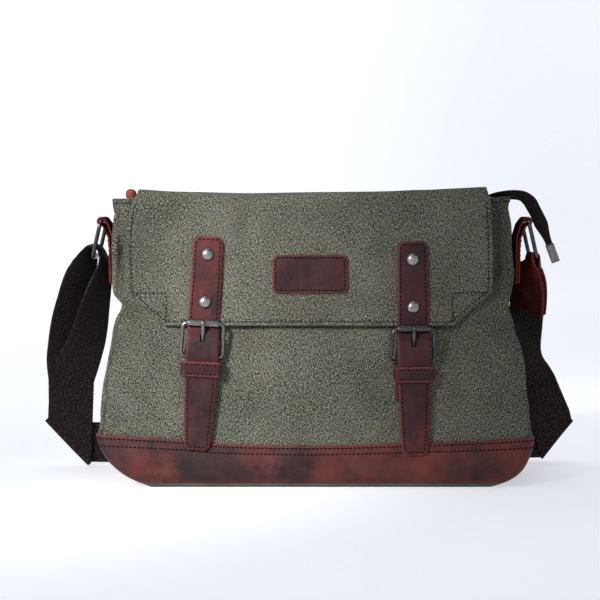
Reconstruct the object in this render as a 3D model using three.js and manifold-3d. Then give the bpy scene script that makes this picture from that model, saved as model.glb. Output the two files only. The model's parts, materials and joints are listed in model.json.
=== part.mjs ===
// A canvas messenger bag with leather trim, in millimetres: +X to the bag's left side as it is seen
// from the front, +Y to its back, +Z up. The origin is the centre of the base, on the floor.
import * as THREE from "three";
import { mergeVertices } from "three/addons/utils/BufferGeometryUtils.js";
import Module from "manifold-3d";

const wasm = await Module();
wasm.setup();

// ---- Driving dimensions ----
const GAP = 0.3; // between pieces that touch
const BAG = {
  flatHalfWidth: 140, // of the base, up to its round corners
  baseHalfWidth: 186.5, // at the top of the leather base band
  bandHeight: 47,
  waistHalfWidth: 167.5,
  waistHeight: 158,
  topHalfWidth: 170,
  height: 247,
  baseHalfDepth: 50,
  topHalfDepth: 32,
  canvas: 2, // thickness of the lined canvas
  gussetTop: 174.5, // half width, just inside the side tabs
};
const LEATHER = 1.6; // single layer
const FLAP = { thickness: 2.4, standOff: 0.6, topZ: 254, backY: 34.3, backHalfWidth: 146 };
const STRAP = {
  width: 27,
  thickness: 2.6,
  top: 103, // the ends and the rivets, above and below the heel bar
  tip: -80,
  rivets: [87.5, 46.7],
};
const BUCKLE = {
  halfWidth: 17.4, // to the wire's centre
  height: 28.4, // from the heel bar to the roller bar
  wire: 1.6,
  heelOut: 5.6, // how far the two bars stand out of the bag's front
  rollerOut: 9.0,
  rollerRadius: 2.4,
  rollerLength: 27,
};
const BUCKLES = [
  { side: "left", x: -96.5, heelZ: 112, lean: THREE.MathUtils.degToRad(3.1) },
  { side: "right", x: 84.5, heelZ: 107.4, lean: THREE.MathUtils.degToRad(-0.6) },
];
const RING = {
  x: 185.5, // the bar held in the side tab
  z: 227,
  drop: 31.5,
  halfWidth: 22,
  corner: 2.6,
  wire: 1.8,
  lean: THREE.MathUtils.degToRad(13),
};
const TAB = { halfWidth: 16, inside: 174.9, outside: 179.5, foot: 172 };
const WEBBING = { width: 37, thickness: 2, floor: 3.4 };
const ZIP = { z: 236.3, sliderX: -158, chainStart: -157, chainEnd: 150, halfLength: 165 };

const FRONT_SLOPE = (BAG.baseHalfDepth - BAG.topHalfDepth) / BAG.height;
const FRONT_TILT = Math.atan(FRONT_SLOPE);

// ---- Colours ----
const paint = (color, roughness, metalness = 0) =>
  new THREE.MeshStandardMaterial({ color, roughness, metalness });
const CANVAS = paint(0x6b6c60, 0.95);
const LINING = paint(0x4c4a44, 0.9);
const COWHIDE = paint(0x5e2f2f, 0.6);
const WEAVE = paint(0x33272a, 0.9);
const GUNMETAL = paint(0x8c8f90, 0.3, 1);
const BLACK_STEEL = paint(0x2c2d2f, 0.4, 1);
const BOARD = paint(0x2f2d2b, 0.8);

// ---- Solids ----
const solid = (geometry) => {
  const bare = geometry.index ? geometry.toNonIndexed() : geometry.clone();
  bare.deleteAttribute("normal");
  bare.deleteAttribute("uv");
  const merged = mergeVertices(bare, 1e-4);
  return new wasm.Manifold(
    new wasm.Mesh({
      numProp: 3,
      vertProperties: merged.attributes.position.array,
      triVerts: new Uint32Array(merged.index.array),
    }),
  );
};
const geometryOf = (body) => {
  const mesh = body.getMesh();
  return new THREE.BufferGeometry()
    .setAttribute("position", new THREE.BufferAttribute(mesh.vertProperties, 3))
    .setIndex(new THREE.BufferAttribute(mesh.triVerts, 1));
};
const cut = (geometry, ...tools) =>
  geometryOf(tools.reduce((left, tool) => left.subtract(solid(tool)), solid(geometry)));
const join = (...geometries) =>
  geometryOf(geometries.map(solid).reduce((all, one) => all.add(one)));
const common = (a, b) => geometryOf(solid(a).intersect(solid(b)));

// A box between two corners.
const box = (x0, x1, y0, y1, z0, z1) =>
  new THREE.BoxGeometry(x1 - x0, y1 - y0, z1 - z0).translate(
    (x0 + x1) / 2,
    (y0 + y1) / 2,
    (z0 + z1) / 2,
  );
// A plate drawn in X and Z, between two depths in Y.
const plate = (shape, y0, y1, curveSegments = 6) =>
  new THREE.ExtrudeGeometry(shape, { depth: y1 - y0, bevelEnabled: false, curveSegments })
    .rotateX(Math.PI / 2)
    .translate(0, y1, 0);
// A profile drawn in (Z, outwards), as wide as x0 to x1; outwards is -Y.
const profile = (shape, x0, x1) =>
  new THREE.ExtrudeGeometry(shape, { depth: x1 - x0, bevelEnabled: false, curveSegments: 6 })
    .applyMatrix4(new THREE.Matrix4().set(0, 0, 1, x0, 0, -1, 0, 0, 1, 0, 0, 0, 0, 0, 0, 1));
// A cylinder along Y between two depths.
const post = (x, z, radius, y0, y1, sides = 16) =>
  new THREE.CylinderGeometry(radius, radius, y1 - y0, sides).translate(x, (y0 + y1) / 2, z);
// A tube along X.
const sleeve = (inner, outer, length) =>
  new THREE.LatheGeometry(
    [
      [inner, -length / 2],
      [outer, -length / 2],
      [outer, length / 2],
      [inner, length / 2],
      [inner, -length / 2],
    ].map(([r, h]) => new THREE.Vector2(r, h)),
    20,
  ).rotateZ(-Math.PI / 2);

const shapeOf = (points) => new THREE.Shape(points.map(([x, y]) => new THREE.Vector2(x, y)));
const roundedRectangle = (x0, x1, y0, y1, radius) => {
  const shape = new THREE.Shape();
  shape.absarc(x1 - radius, y1 - radius, radius, 0, Math.PI / 2);
  shape.absarc(x0 + radius, y1 - radius, radius, Math.PI / 2, Math.PI);
  shape.absarc(x0 + radius, y0 + radius, radius, Math.PI, 1.5 * Math.PI);
  shape.absarc(x1 - radius, y0 + radius, radius, 1.5 * Math.PI, 2 * Math.PI);
  return shape;
};

// A closed surface from rows of points: every row is a loop, and the first and last rows are capped
// unless the rows themselves close into a ring.
const lofted = (rows, ring = false) => {
  const count = rows[0].length;
  const position = rows.flat().flatMap((p) => [p.x, p.y, p.z]);
  const index = [];
  const last = ring ? rows.length : rows.length - 1;
  for (let i = 0; i < last; i++)
    for (let j = 0; j < count; j++) {
      const a = i * count + j;
      const b = i * count + ((j + 1) % count);
      const c = ((i + 1) % rows.length) * count + j;
      const d = ((i + 1) % rows.length) * count + ((j + 1) % count);
      index.push(a, b, d, a, d, c);
    }
  if (!ring)
    for (let j = 1; j < count - 1; j++) {
      index.push(0, j + 1, j);
      const end = (rows.length - 1) * count;
      index.push(end, end + j, end + j + 1);
    }
  const made = new THREE.BufferGeometry()
    .setAttribute("position", new THREE.Float32BufferAttribute(position, 3))
    .setIndex(index);
  if (solid(made).volume() < 0)
    for (let i = 0; i < index.length; i += 3)
      [index[i + 1], index[i + 2]] = [index[i + 2], index[i + 1]];
  return made.setIndex(index);
};

// A sheet from a grid of points, made solid by its thickness along one direction per row.
const sheet = (grid, offsets) =>
  lofted(grid.map((row, i) => [
    ...row,
    ...[...row].reverse().map((p) => p.clone().add(offsets[i])),
  ]));

// A closed wire: a round section carried along a loop drawn in the XZ plane.
const wireLoop = (shape, divisions, radius, sides = 8) => {
  const loop = shape.getSpacedPoints(divisions).slice(0, divisions);
  const rows = loop.map((p, i) => {
    const before = loop[(i + divisions - 1) % divisions];
    const after = loop[(i + 1) % divisions];
    const out = new THREE.Vector2(after.y - before.y, before.x - after.x).normalize();
    return Array.from({ length: sides }, (_, k) => {
      const turn = (2 * Math.PI * k) / sides;
      const reach = radius * Math.cos(turn);
      return new THREE.Vector3(p.x + out.x * reach, radius * Math.sin(turn), p.y + out.y * reach);
    });
  });
  return lofted(rows, true);
};

const root = new THREE.Group();
const add = (name, geometry, material, parent = root) => {
  const mesh = new THREE.Mesh(geometry, material);
  mesh.name = name;
  parent.add(mesh);
  return mesh;
};

// The front and back faces lean in towards the top. In each group -Y is outwards.
const front = new THREE.Group();
front.position.y = -BAG.baseHalfDepth;
front.rotation.x = -FRONT_TILT;
const back = new THREE.Group();
back.position.y = BAG.baseHalfDepth;
back.rotation.set(-FRONT_TILT, 0, Math.PI, "ZXY");
root.add(front, back);

// ---- Body ----
const bodyHalfWidth = (z) => {
  const { baseHalfWidth, waistHalfWidth, topHalfWidth, bandHeight, waistHeight, height } = BAG;
  const lower = z < waistHeight;
  const share = lower
    ? (z - bandHeight) / (waistHeight - bandHeight)
    : (z - waistHeight) / (height - waistHeight);
  return lower
    ? THREE.MathUtils.lerp(baseHalfWidth, waistHalfWidth, share)
    : THREE.MathUtils.lerp(waistHalfWidth, topHalfWidth, share);
};
const bodyHalfDepth = (z) => BAG.baseHalfDepth - FRONT_SLOPE * z;
// The round lower corner, from the flat base up to the top of the base band.
const corner = new THREE.QuadraticBezierCurve(
  new THREE.Vector2(BAG.flatHalfWidth, 0),
  new THREE.Vector2(177, 12),
  new THREE.Vector2(BAG.baseHalfWidth, BAG.bandHeight),
);

const panelOutline = (topZ) => {
  const right = corner.getPoints(8).filter((p) => p.y < topZ).map((p) => [p.x, p.y]);
  const heights = [BAG.bandHeight, BAG.waistHeight, BAG.height].filter((z) => z < topZ);
  for (const z of [...heights, topZ])
    if (z > right.at(-1)[1]) right.push([z < BAG.bandHeight ? right.at(-1)[0] : bodyHalfWidth(z), z]);
  return shapeOf([...right, ...right.map(([x, z]) => [-x, z]).reverse()]);
};

const SOCKET_RADIUS = 6.2;
const snapHoles = BUCKLES.map(({ x, heelZ, lean }) => {
  const drop = -25;
  return post(x + Math.sin(lean) * drop, heelZ + Math.cos(lean) * drop, SOCKET_RADIUS, -5, 5);
});
add("front_panel", cut(plate(panelOutline(BAG.height), 0, BAG.canvas), ...snapHoles), CANVAS, front);
add("back_panel", plate(panelOutline(BAG.height), 0, BAG.canvas), CANVAS, back);
for (const [face, group] of [["front", front], ["back", back]])
  add(
    `base_band_${face}`,
    plate(panelOutline(BAG.bandHeight - 4), -GAP - LEATHER, -GAP).translate(0, 0, 1.5),
    COWHIDE,
    group,
  );

// The gussets stand between the panels: flat across, and wider at the top, under the side tabs.
const GUSSET_ENDS = [
  { z: BAG.bandHeight + 0.8, halfWidth: BAG.baseHalfWidth - 0.5 },
  { z: BAG.waistHeight, halfWidth: BAG.waistHalfWidth + 1 },
  { z: TAB.foot, halfWidth: BAG.gussetTop },
  { z: BAG.height, halfWidth: BAG.gussetTop },
];
for (const [name, side] of [["left_gusset", -1], ["right_gusset", 1]])
  add(
    name,
    sheet(
      GUSSET_ENDS.map(({ z, halfWidth }) => {
        const depth = bodyHalfDepth(z) - BAG.canvas - GAP - 0.2;
        return [-depth, depth].map((y) => new THREE.Vector3(side * halfWidth, y, z));
      }),
      GUSSET_ENDS.map(() => new THREE.Vector3(-side * BAG.canvas, 0, 0)),
    ),
    CANVAS,
  );
// The base carries on round the lower corners.

const baseRows = (points, lift, overhang) =>
  points.map((p) => {
    const depth = bodyHalfDepth(p.y) - overhang;
    return [-depth, depth].map((y) => new THREE.Vector3(p.x + lift.x, y, p.y + lift.y));
  });
const cornerPoints = corner.getPoints(8);
const inward = cornerPoints.map((p, i) => {
  const tangent = corner.getTangent(i / 8);
  return new THREE.Vector2(-tangent.y, tangent.x);
});
const baseLine = [
  ...cornerPoints.map((p) => new THREE.Vector2(-p.x, p.y)).reverse(),
  ...cornerPoints,
];
const baseInward = [...inward.map((n) => new THREE.Vector2(-n.x, n.y)).reverse(), ...inward];
const still = new THREE.Vector2();
add(
  "bottom_panel",
  sheet(
    baseRows(baseLine, still, BAG.canvas + GAP + 0.2),
    baseInward.map((n) => new THREE.Vector3(n.x, 0, n.y).multiplyScalar(BAG.canvas)),
  ),
  CANVAS,
);
const LEATHER_FROM = 3; // the corner leather starts clear of the floor
for (const [name, side] of [["base_band_left", -1], ["base_band_right", 1]]) {
  const points = cornerPoints.slice(LEATHER_FROM);
  const outward = inward.slice(LEATHER_FROM).map((n) => n.clone().multiplyScalar(-1));
  const rows = points.map((p, i) => {
    const at = p.clone().addScaledVector(outward[i], GAP);
    const depth = bodyHalfDepth(p.y) - 0.4;
    return [-depth, depth].map((y) => new THREE.Vector3(side * at.x, y, at.y));
  });
  add(
    name,
    sheet(rows, outward.map((n) => new THREE.Vector3(side * n.x, 0, n.y).multiplyScalar(LEATHER))),
    COWHIDE,
  );
}
const BOARD_HALF = { x: 136, y: 44 };
const BOARD_Z = BAG.canvas + GAP;
add(
  "base_board",
  box(-BOARD_HALF.x, BOARD_HALF.x, -BOARD_HALF.y, BOARD_HALF.y, BOARD_Z, BOARD_Z + 2),
  BOARD,
);

// A frustum with a rectangular section, from its half sizes at two heights.
const frustum = (low, high) =>
  lofted([low, high].map(({ x, y, z }) =>
    [[-x, -y], [x, -y], [x, y], [-x, y]].map(([px, py]) => new THREE.Vector3(px, py, z))));
const liningHalf = (z, half, extra) => ({
  x: half - extra,
  y: bodyHalfDepth(z) - BAG.canvas - 1.5 - extra,
  z,
});
const LINING_Z = { foot: BOARD_Z + 2 + GAP, rim: 232 };
add(
  "lining",
  cut(
    frustum(liningHalf(LINING_Z.foot, 134, 0), liningHalf(LINING_Z.rim, 163, 0)),
    frustum(
      { ...liningHalf(LINING_Z.foot, 134, 0.8), z: LINING_Z.foot + 0.8 },
      { ...liningHalf(LINING_Z.rim, 163, 0.8), z: LINING_Z.rim + 1 },
    ),
  ),
  LINING,
);

// ---- Zip along the top, recessed between two canvas facings ----
const facingOuter = bodyHalfDepth(ZIP.z) - BAG.canvas - GAP - 0.3;
const TAPE = { inner: 2.9, outer: 16, thickness: 0.8 };
for (const [face, side] of [["front", -1], ["back", 1]]) {
  const across = (a, b) => [Math.min(side * a, side * b), Math.max(side * a, side * b)];
  add(
    `zip_facing_${face}`,
    box(-ZIP.halfLength, ZIP.halfLength, ...across(9, facingOuter), ZIP.z + 0.7, ZIP.z + 2.2),
    CANVAS,
  );
  add(
    `zip_tape_${face}`,
    box(-ZIP.halfLength, ZIP.chainEnd + 8, ...across(TAPE.inner, TAPE.outer),
      ZIP.z - TAPE.thickness / 2, ZIP.z + TAPE.thickness / 2),
    WEAVE,
  );
}
add("zip_chain", box(ZIP.chainStart, ZIP.chainEnd, -2.5, 2.5, ZIP.z - 1.3, ZIP.z + 1.3), BLACK_STEEL);

const zipSlider = new THREE.Group();
zipSlider.position.set(ZIP.sliderX, 0, ZIP.z);
root.add(zipSlider);
const BAIL = { z: 5.1, radius: 2.2, bore: 1.1 }; // round the pull's pin, above the chain
add(
  "zip_slider",
  cut(
    join(
      box(-5.5, 6, -6, 6, -3.2, 3.1),
      box(-BAIL.radius, BAIL.radius, -1.2, 1.2, 3, BAIL.z),
      post(0, BAIL.z, BAIL.radius, -1.2, 1.2),
    ),
    box(-0.5, 7, -3.1, 3.1, -1.8, 1.8),
    box(-6, 7, 2, 7, -1, 1),
    box(-6, 7, -7, -2, -1, 1),
    post(0, BAIL.z, BAIL.bore, -2, 2),
  ),
  BLACK_STEEL,
  zipSlider,
);
const PULL_TOP = 14;
const pullOutline = shapeOf([
  [-5, 4.0], [-1.7, 4.0], [-1.7, 7.6], [1.7, 7.6], [1.7, 4.0], [5, 4.0], [5, 10.5],
  [3.6, 13], [1.6, PULL_TOP], [-1.6, PULL_TOP], [-3.6, 13], [-5, 10.5],
]);
add(
  "zip_pull",
  join(
    plate(pullOutline, -1.1, 1.1).rotateZ(Math.PI / 2),
    post(0, BAIL.z, 0.8, -2.2, 2.2, 10),
  ),
  COWHIDE,
  zipSlider,
);

// ---- Flap ----
const flapPivotY = -bodyHalfDepth(FLAP.topZ) - FLAP.standOff - FLAP.thickness;
const flapFrontHalf = { left: -149, right: 148 };
add(
  "flap_top_panel",
  lofted([
    [flapPivotY, flapFrontHalf.left, flapFrontHalf.right],
    [FLAP.backY, -FLAP.backHalfWidth, FLAP.backHalfWidth],
  ].map(([y, x0, x1]) =>
    [[x0, 0], [x1, 0], [x1, -FLAP.thickness], [x0, -FLAP.thickness]].map(
      ([x, z]) => new THREE.Vector3(x, y, FLAP.topZ + z),
    ))),
  CANVAS,
);
const flapOutline = shapeOf([
  [-149, 251], [-158.5, 225], [-160.5, 188], [-160, 167], [-128.5, 138.5],
  [118.5, 137.5], [152, 167.5], [153, 212], [151.5, 241], [148, 251],
]);
const flapOuter = -FLAP.standOff - FLAP.thickness;
const strapPlace = ({ x, heelZ, lean }, along) => [
  x + Math.sin(lean) * along,
  heelZ + Math.cos(lean) * along,
];
const rivetHoles = BUCKLES.flatMap((b) =>
  STRAP.rivets.map((along) => post(...strapPlace(b, along), 1.8, -20, 20, 12)));
add(
  "flap_front_panel",
  cut(plate(flapOutline, flapOuter, -FLAP.standOff), ...rivetHoles),
  CANVAS,
  front,
);
add(
  "flap_seam_strip",
  plate(
    shapeOf([[-144, 228], [144, 228], [144, 250.8], [-144, 250.8]]),
    -GAP - 2,
    -GAP,
  ),
  CANVAS,
  back,
);
const PATCH = { x: -4, z: 182.5, width: 64.6, height: 33, radius: 5 };
add(
  "name_patch",
  plate(
    roundedRectangle(
      PATCH.x - PATCH.width / 2, PATCH.x + PATCH.width / 2,
      PATCH.z - PATCH.height / 2, PATCH.z + PATCH.height / 2, PATCH.radius,
    ),
    flapOuter - GAP - LEATHER,
    flapOuter - GAP,
    3,
  ),
  COWHIDE,
  front,
);

// ---- The two buckled straps, each drawn round its heel bar ----
// The strap's middle line as (height above the heel bar, distance out of the bag's front).
const STRAP_LINE = [
  [STRAP.top, 4.6], [34, 4.6], [27.5, 4.9], [22, 7.0], [16, 9.6], [8, 10.9], [0, 10.7],
  [-6, 9.7], [-12, 8.4], [-21, 7.6], [-36, 7.3], [-50, 6.2], [STRAP.tip, 4.8],
];
const STRAP_OUTLINE = [
  [-8, STRAP.tip], [8, STRAP.tip], [10.8, STRAP.tip + 3], [13.8, -20], [13.8, 20], [13, STRAP.top - 4],
  [10, STRAP.top], [-10, STRAP.top], [-13, STRAP.top - 4], [-13.8, 20], [-13.8, -20],
  [-10.8, STRAP.tip + 3],
];
const thicken = (line, half) => {
  const side = (sign) =>
    line.map(([z, out], i) => {
      const [z0, o0] = line[Math.max(i - 1, 0)];
      const [z1, o1] = line[Math.min(i + 1, line.length - 1)];
      const normal = new THREE.Vector2(o0 - o1, z1 - z0).normalize();
      return [z + sign * half * normal.x, out + sign * half * normal.y];
    });
  return shapeOf([...side(1), ...side(-1).reverse()]);
};
const circleHole = (z, out, radius) => {
  const hole = new THREE.Path();
  hole.absarc(z, out, radius, 0, 2 * Math.PI, true);
  return hole;
};

const buckledStrap = (strap, side) => {
  add(
    `${side}_strap`,
    cut(
      common(
        profile(thicken(STRAP_LINE, STRAP.thickness / 2), -STRAP.width, STRAP.width),
        plate(shapeOf(STRAP_OUTLINE), -30, 10),
      ),
      box(-2.6, 2.6, -30, 10, 4.5, 22.5),
      ...STRAP.rivets.map((z) => post(0, z, 1.8, -20, 20, 12)),
    ),
    COWHIDE,
    strap,
  );
  STRAP.rivets.forEach((z, i) => {
    const seat = -STRAP_LINE[0][1] - STRAP.thickness / 2 - 0.2;
    const dome = new THREE.LatheGeometry(
      [[0, -3.8], [1.5, -3.8], [1.5, 0], [5, 0], [4.6, 1.3], [3.2, 2.4], [0, 3]].map(
        ([r, h]) => new THREE.Vector2(r, h),
      ),
      16,
    ).rotateX(Math.PI).translate(0, seat, z);
    add(`${side}_rivet_${i ? "lower" : "upper"}`, dome, GUNMETAL, strap);
  });

  // The anchor tab is folded round the heel bar and slotted for the prong.
  const inner = BUCKLE.wire + GAP;
  const outer = inner + LEATHER;
  const anchor = new THREE.Shape();
  anchor.moveTo(-33, 2.5);
  anchor.lineTo(-6, 2.5);
  anchor.absarc(0, BUCKLE.heelOut, outer, -2.5, 2.35);
  anchor.lineTo(-8, 5.7);
  anchor.lineTo(-33, 5.7);
  anchor.holes.push(circleHole(0, BUCKLE.heelOut, inner));
  add(
    `${side}_anchor_tab`,
    cut(profile(anchor, -12.5, 12.5), box(-2.7, 2.7, -12, 0, -4.5, 6)),
    COWHIDE,
    strap,
  );

  // The keeper is a leather loop round the anchor tab and the strap's tail.
  const keeper = roundedRectangle(-17.5, 17.5, 0.8, 13, 2.5);
  keeper.holes.push(new THREE.Path(roundedRectangle(-15.6, 15.6, 2.2, 11.4, 1.2).getPoints(3).reverse()));
  const KEEPER = { top: -4.2, height: 13 };
  const loop = new THREE.ExtrudeGeometry(keeper, {
    depth: KEEPER.height, bevelEnabled: false, curveSegments: 3,
  }).applyMatrix4(
    new THREE.Matrix4().set(1, 0, 0, 0, 0, -1, 0, 0, 0, 0, -1, KEEPER.top, 0, 0, 0, 1),
  );
  const corners = loop.attributes.position;
  for (let i = 0; i < corners.count; i++)
    if (corners.getY(i) < -6) corners.setY(i, corners.getY(i) + 0.1 * (KEEPER.top - corners.getZ(i)));
  add(`${side}_keeper`, loop, COWHIDE, strap);

  // The buckle: frame, roller and prong, turned so that the frame's plane meets both bars.
  const frame = new THREE.Group();
  frame.position.y = -BUCKLE.heelOut;
  frame.rotation.x = Math.atan((BUCKLE.rollerOut - BUCKLE.heelOut) / BUCKLE.height);
  strap.add(frame);
  const reach = Math.hypot(BUCKLE.height, BUCKLE.rollerOut - BUCKLE.heelOut);
  add(
    `${side}_buckle_frame`,
    wireLoop(roundedRectangle(-BUCKLE.halfWidth, BUCKLE.halfWidth, 0, reach, 3.6), 44, BUCKLE.wire),
    GUNMETAL,
    frame,
  );
  add(
    `${side}_buckle_roller`,
    sleeve(BUCKLE.wire + 0.25, BUCKLE.rollerRadius, BUCKLE.rollerLength).translate(0, 0, reach),
    GUNMETAL,
    frame,
  );
  const prong = new THREE.Group();
  const rest = BUCKLE.rollerOut + BUCKLE.rollerRadius + GAP + 1.2 - BUCKLE.heelOut;
  prong.position.y = -BUCKLE.heelOut;
  prong.rotation.x = Math.atan(rest / BUCKLE.height);
  strap.add(prong);
  add(
    `${side}_buckle_prong`,
    join(sleeve(BUCKLE.wire + 0.25, 3, 3.6), box(-1.7, 1.7, -1.2, 1.2, 2.4, 33)),
    GUNMETAL,
    prong,
  );

  // A magnetic snap behind the anchor tab: the stud goes with the strap.
  add(
    `${side}_snap_stud`,
    join(post(0, -25, 6.6, -2.2, -1.5), post(0, -25, 2, -1.6, -0.5)),
    GUNMETAL,
    strap,
  );
  add(
    `${side}_snap_socket`,
    cut(join(post(0, -25, SOCKET_RADIUS - GAP, -0.5, 2.4), post(0, -25, 7.6, -1.2, -GAP)),
      post(0, -25, 2.7, -5, 5)),
    GUNMETAL,
    strap,
  );
};
for (const { side, x, heelZ, lean } of BUCKLES) {
  const strap = new THREE.Group();
  strap.position.set(x, 0, heelZ);
  strap.rotation.y = lean;
  front.add(strap);
  buckledStrap(strap, side);
}

// ---- Side tabs and their rings ----
for (const [name, side] of [["left", -1], ["right", 1]]) {
  const hold = RING.wire + GAP;
  const wrap = hold + 2.3;
  const tab = new THREE.Shape();
  tab.moveTo(TAB.inside, TAB.foot);
  tab.lineTo(TAB.outside, TAB.foot);
  tab.lineTo(TAB.outside, RING.z - 9);
  tab.absarc(RING.x, RING.z, wrap, -2.2, Math.PI / 2);
  tab.lineTo(TAB.inside + 1, RING.z + wrap);
  tab.lineTo(TAB.inside, RING.z + wrap - 1);
  const bore = new THREE.Path();
  bore.absarc(RING.x, RING.z, hold, 0, 2 * Math.PI, true);
  tab.holes.push(bore);
  const facing = plate(tab, -TAB.halfWidth, TAB.halfWidth);
  add(`${name}_side_tab`, side < 0 ? facing.rotateZ(Math.PI) : facing, COWHIDE);

  const ring = new THREE.Group();
  ring.position.set(side * RING.x, 0, RING.z);
  ring.rotation.y = -side * RING.lean;
  root.add(ring);
  const loop = roundedRectangle(-RING.halfWidth, RING.halfWidth, -RING.drop, 0, RING.corner);
  add(`${name}_ring`, wireLoop(loop, 48, RING.wire).rotateZ(Math.PI / 2), GUNMETAL, ring);
}

// ---- Shoulder strap ----
// Stations down a strip: the middle of the strip, and the direction across it.
const acrossAt = (degrees, side) => {
  const turn = THREE.MathUtils.degToRad(degrees);
  return new THREE.Vector3(-side * Math.cos(turn), Math.sin(turn), 0); // towards the far edge
};
const smooth = (points, divisions) =>
  new THREE.CatmullRomCurve3(points.map((p) => new THREE.Vector3(...p)), false, "centripetal")
    .getPoints(divisions);
// Each point is [x, y, z, turn]: at a turn of 90 degrees the strip is edge on to the front.
const legStations = (points, side, divisions, widthAt = () => WEBBING.width) => {
  const middles = smooth(points.map(([x, y, z]) => [x, y, z]), divisions);
  const turns = smooth(points.map((p) => [p[3], 0, 0]), divisions);
  return middles.map((middle, i) => {
    const before = middles[Math.max(i - 1, 0)];
    const after = middles[Math.min(i + 1, middles.length - 1)];
    const along = after.clone().sub(before).normalize();
    const across = acrossAt(turns[i].x, side);
    across.addScaledVector(along, -across.dot(along)).normalize();
    const half = widthAt(i / divisions) / 2;
    return [
      middle.clone().addScaledVector(across, -half),
      middle.clone().addScaledVector(across, half),
      new THREE.Vector3().crossVectors(along, across).normalize(),
    ];
  });
};
// A mitred fold at floor level, where a leg turns to run behind the bag. `x` is the fold's foot.
const foldStations = (x, y, side, angle, radius) => {
  const a = THREE.MathUtils.degToRad(angle);
  const foot = new THREE.Vector3(x, y, WEBBING.floor);
  const fold = new THREE.Vector3(side * Math.cos(a), 0, Math.sin(a));
  const up = new THREE.Vector3(side * Math.cos(2 * a), 0, Math.sin(2 * a));
  const away = new THREE.Vector3(side * Math.sin(a), 0, -Math.cos(a));
  const run = new THREE.Vector3(-side, 0, 0);
  const tip = foot.clone().addScaledVector(fold, WEBBING.width / Math.sin(a));
  const rise = WEBBING.width / Math.tan(a);
  const stations = [];
  for (const lift of [18, 8]) {
    const far = foot.clone().addScaledVector(up, lift);
    const near = tip.clone().addScaledVector(up, lift);
    stations.push([near, far, new THREE.Vector3(0, -side, 0)]);
  }
  for (let i = 0; i <= 6; i++) {
    const turn = (Math.PI * i) / 6;
    const shift = away.clone().multiplyScalar(radius * Math.sin(turn));
    shift.y = radius * (1 - Math.cos(turn));
    const normal = away.clone().multiplyScalar(Math.sin(turn)).setY(-Math.cos(turn));
    stations.push([tip.clone().add(shift), foot.clone().add(shift), normal.multiplyScalar(side)]);
  }
  const behind = new THREE.Vector3(0, 2 * radius, 0);
  for (const share of [0.45, 1]) {
    const top = tip.clone().add(behind).addScaledVector(run, rise * share);
    const bottom = foot.clone().add(behind).addScaledVector(run, rise * share * 0.15);
    stations.push([top, bottom, new THREE.Vector3(0, side, 0)]);
  }
  return stations;
};
const strip = (stations, thickness) =>
  lofted(stations.map(([near, far, normal]) => {
    const half = normal.clone().multiplyScalar(thickness / 2);
    return [
      near.clone().add(half), far.clone().add(half),
      far.clone().sub(half), near.clone().sub(half),
    ];
  }));

// Where the bar at the foot of a ring is, beside the bag.
const ringFoot = {
  x: RING.x + RING.drop * Math.sin(RING.lean),
  z: RING.z - RING.drop * Math.cos(RING.lean),
};
const LEFT_LEG_INNER = [
  [-224, 56, 66, 2], [-219, 46, 80, 8], [-213.4, 33, 97, 16], [-202.7, 20, 125, 28],
  [-191, 8, 156, 49], [-187.5, 3, 176, 66], [-185.6, 0, 194, 86],
];
const LEFT_ARCH = [
  [-187.4, 0, 201.5, 90], [-191.5, 0, 205.6, 90], [-196.5, 0, 206, 90], [-201, 0, 202, 90],
];
const LEFT_LEG_OUTER = [
  [-203.5, 0, 194, 84], [-209.5, 2, 180, 64], [-213, 8, 156, 46], [-215.8, 16, 136, 36],
  [-221, 31, 108, 22], [-225.5, 46, 84, 12], [-225.4, 58.8, 67, 3],
];
const RIGHT_LEG = [
  [217, 83.5, 68, 4], [204, 72, 88, 13], [193, 54, 107, 27], [190, 38, 125, 38],
  [190, 22, 143, 50], [191.6, 4, 168, 76], [192.4, 0, 187, 89],
];
const FOLD = { leftX: -209.5, leftAngle: 47, rightX: 214.4, rightAngle: 52 };

// The strap's run behind the bag stands on edge. In plan it weaves through the adjuster, and its
// end comes back from the left fold to be sewn round the adjuster's middle bar.
const ADJUSTER = { x: -84, y: 60.6, pitch: 14, wire: 1.4 };
const [barX, barY] = [ADJUSTER.x, ADJUSTER.y];
const RUN_THROUGH = [
  [-172, 61.2], [-150, 61.6], [-122, 62.8], [barX - 15, barY + 2.9], [barX - 10, barY + 1.2],
  [barX - 4, barY - 4], [barX, barY - 5.2], [barX + 4, barY - 4], [barX + 10, barY + 1.2],
  [barX + 15, barY + 2.9], [-40, 64.6], [30, 68.5], [100, 76], [150, 83], [182, 86.6],
];
const RUN_SEWN = [
  [-172, 63.8], [-150, 64.4], [-122, 65.5], [barX - 16, barY + 5.6], [barX - 9, barY + 2.4],
  [barX - 2.6, barY - 2.2], [barX, barY - 2.8], [barX + 2.4, barY - 1.6], [barX + 2.8, barY + 0.4],
  [barX + 1.4, barY + 2.6], [barX - 3, barY + 3.9], [barX - 10, barY + 6], [barX - 18, barY + 8.1],
  [barX - 34, barY + 7.7],
];
const runStations = (plan, divisions) => {
  const points = smooth(plan.map(([x, y]) => [x, y, 0]), divisions);
  return points.map((point, i) => {
    const before = points[Math.max(i - 1, 0)];
    const along = points[Math.min(i + 1, points.length - 1)].clone().sub(before).normalize();
    return [
      new THREE.Vector3(point.x, point.y, WEBBING.floor + WEBBING.width),
      new THREE.Vector3(point.x, point.y, WEBBING.floor),
      new THREE.Vector3(along.y, -along.x, 0),
    ];
  });
};
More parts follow.
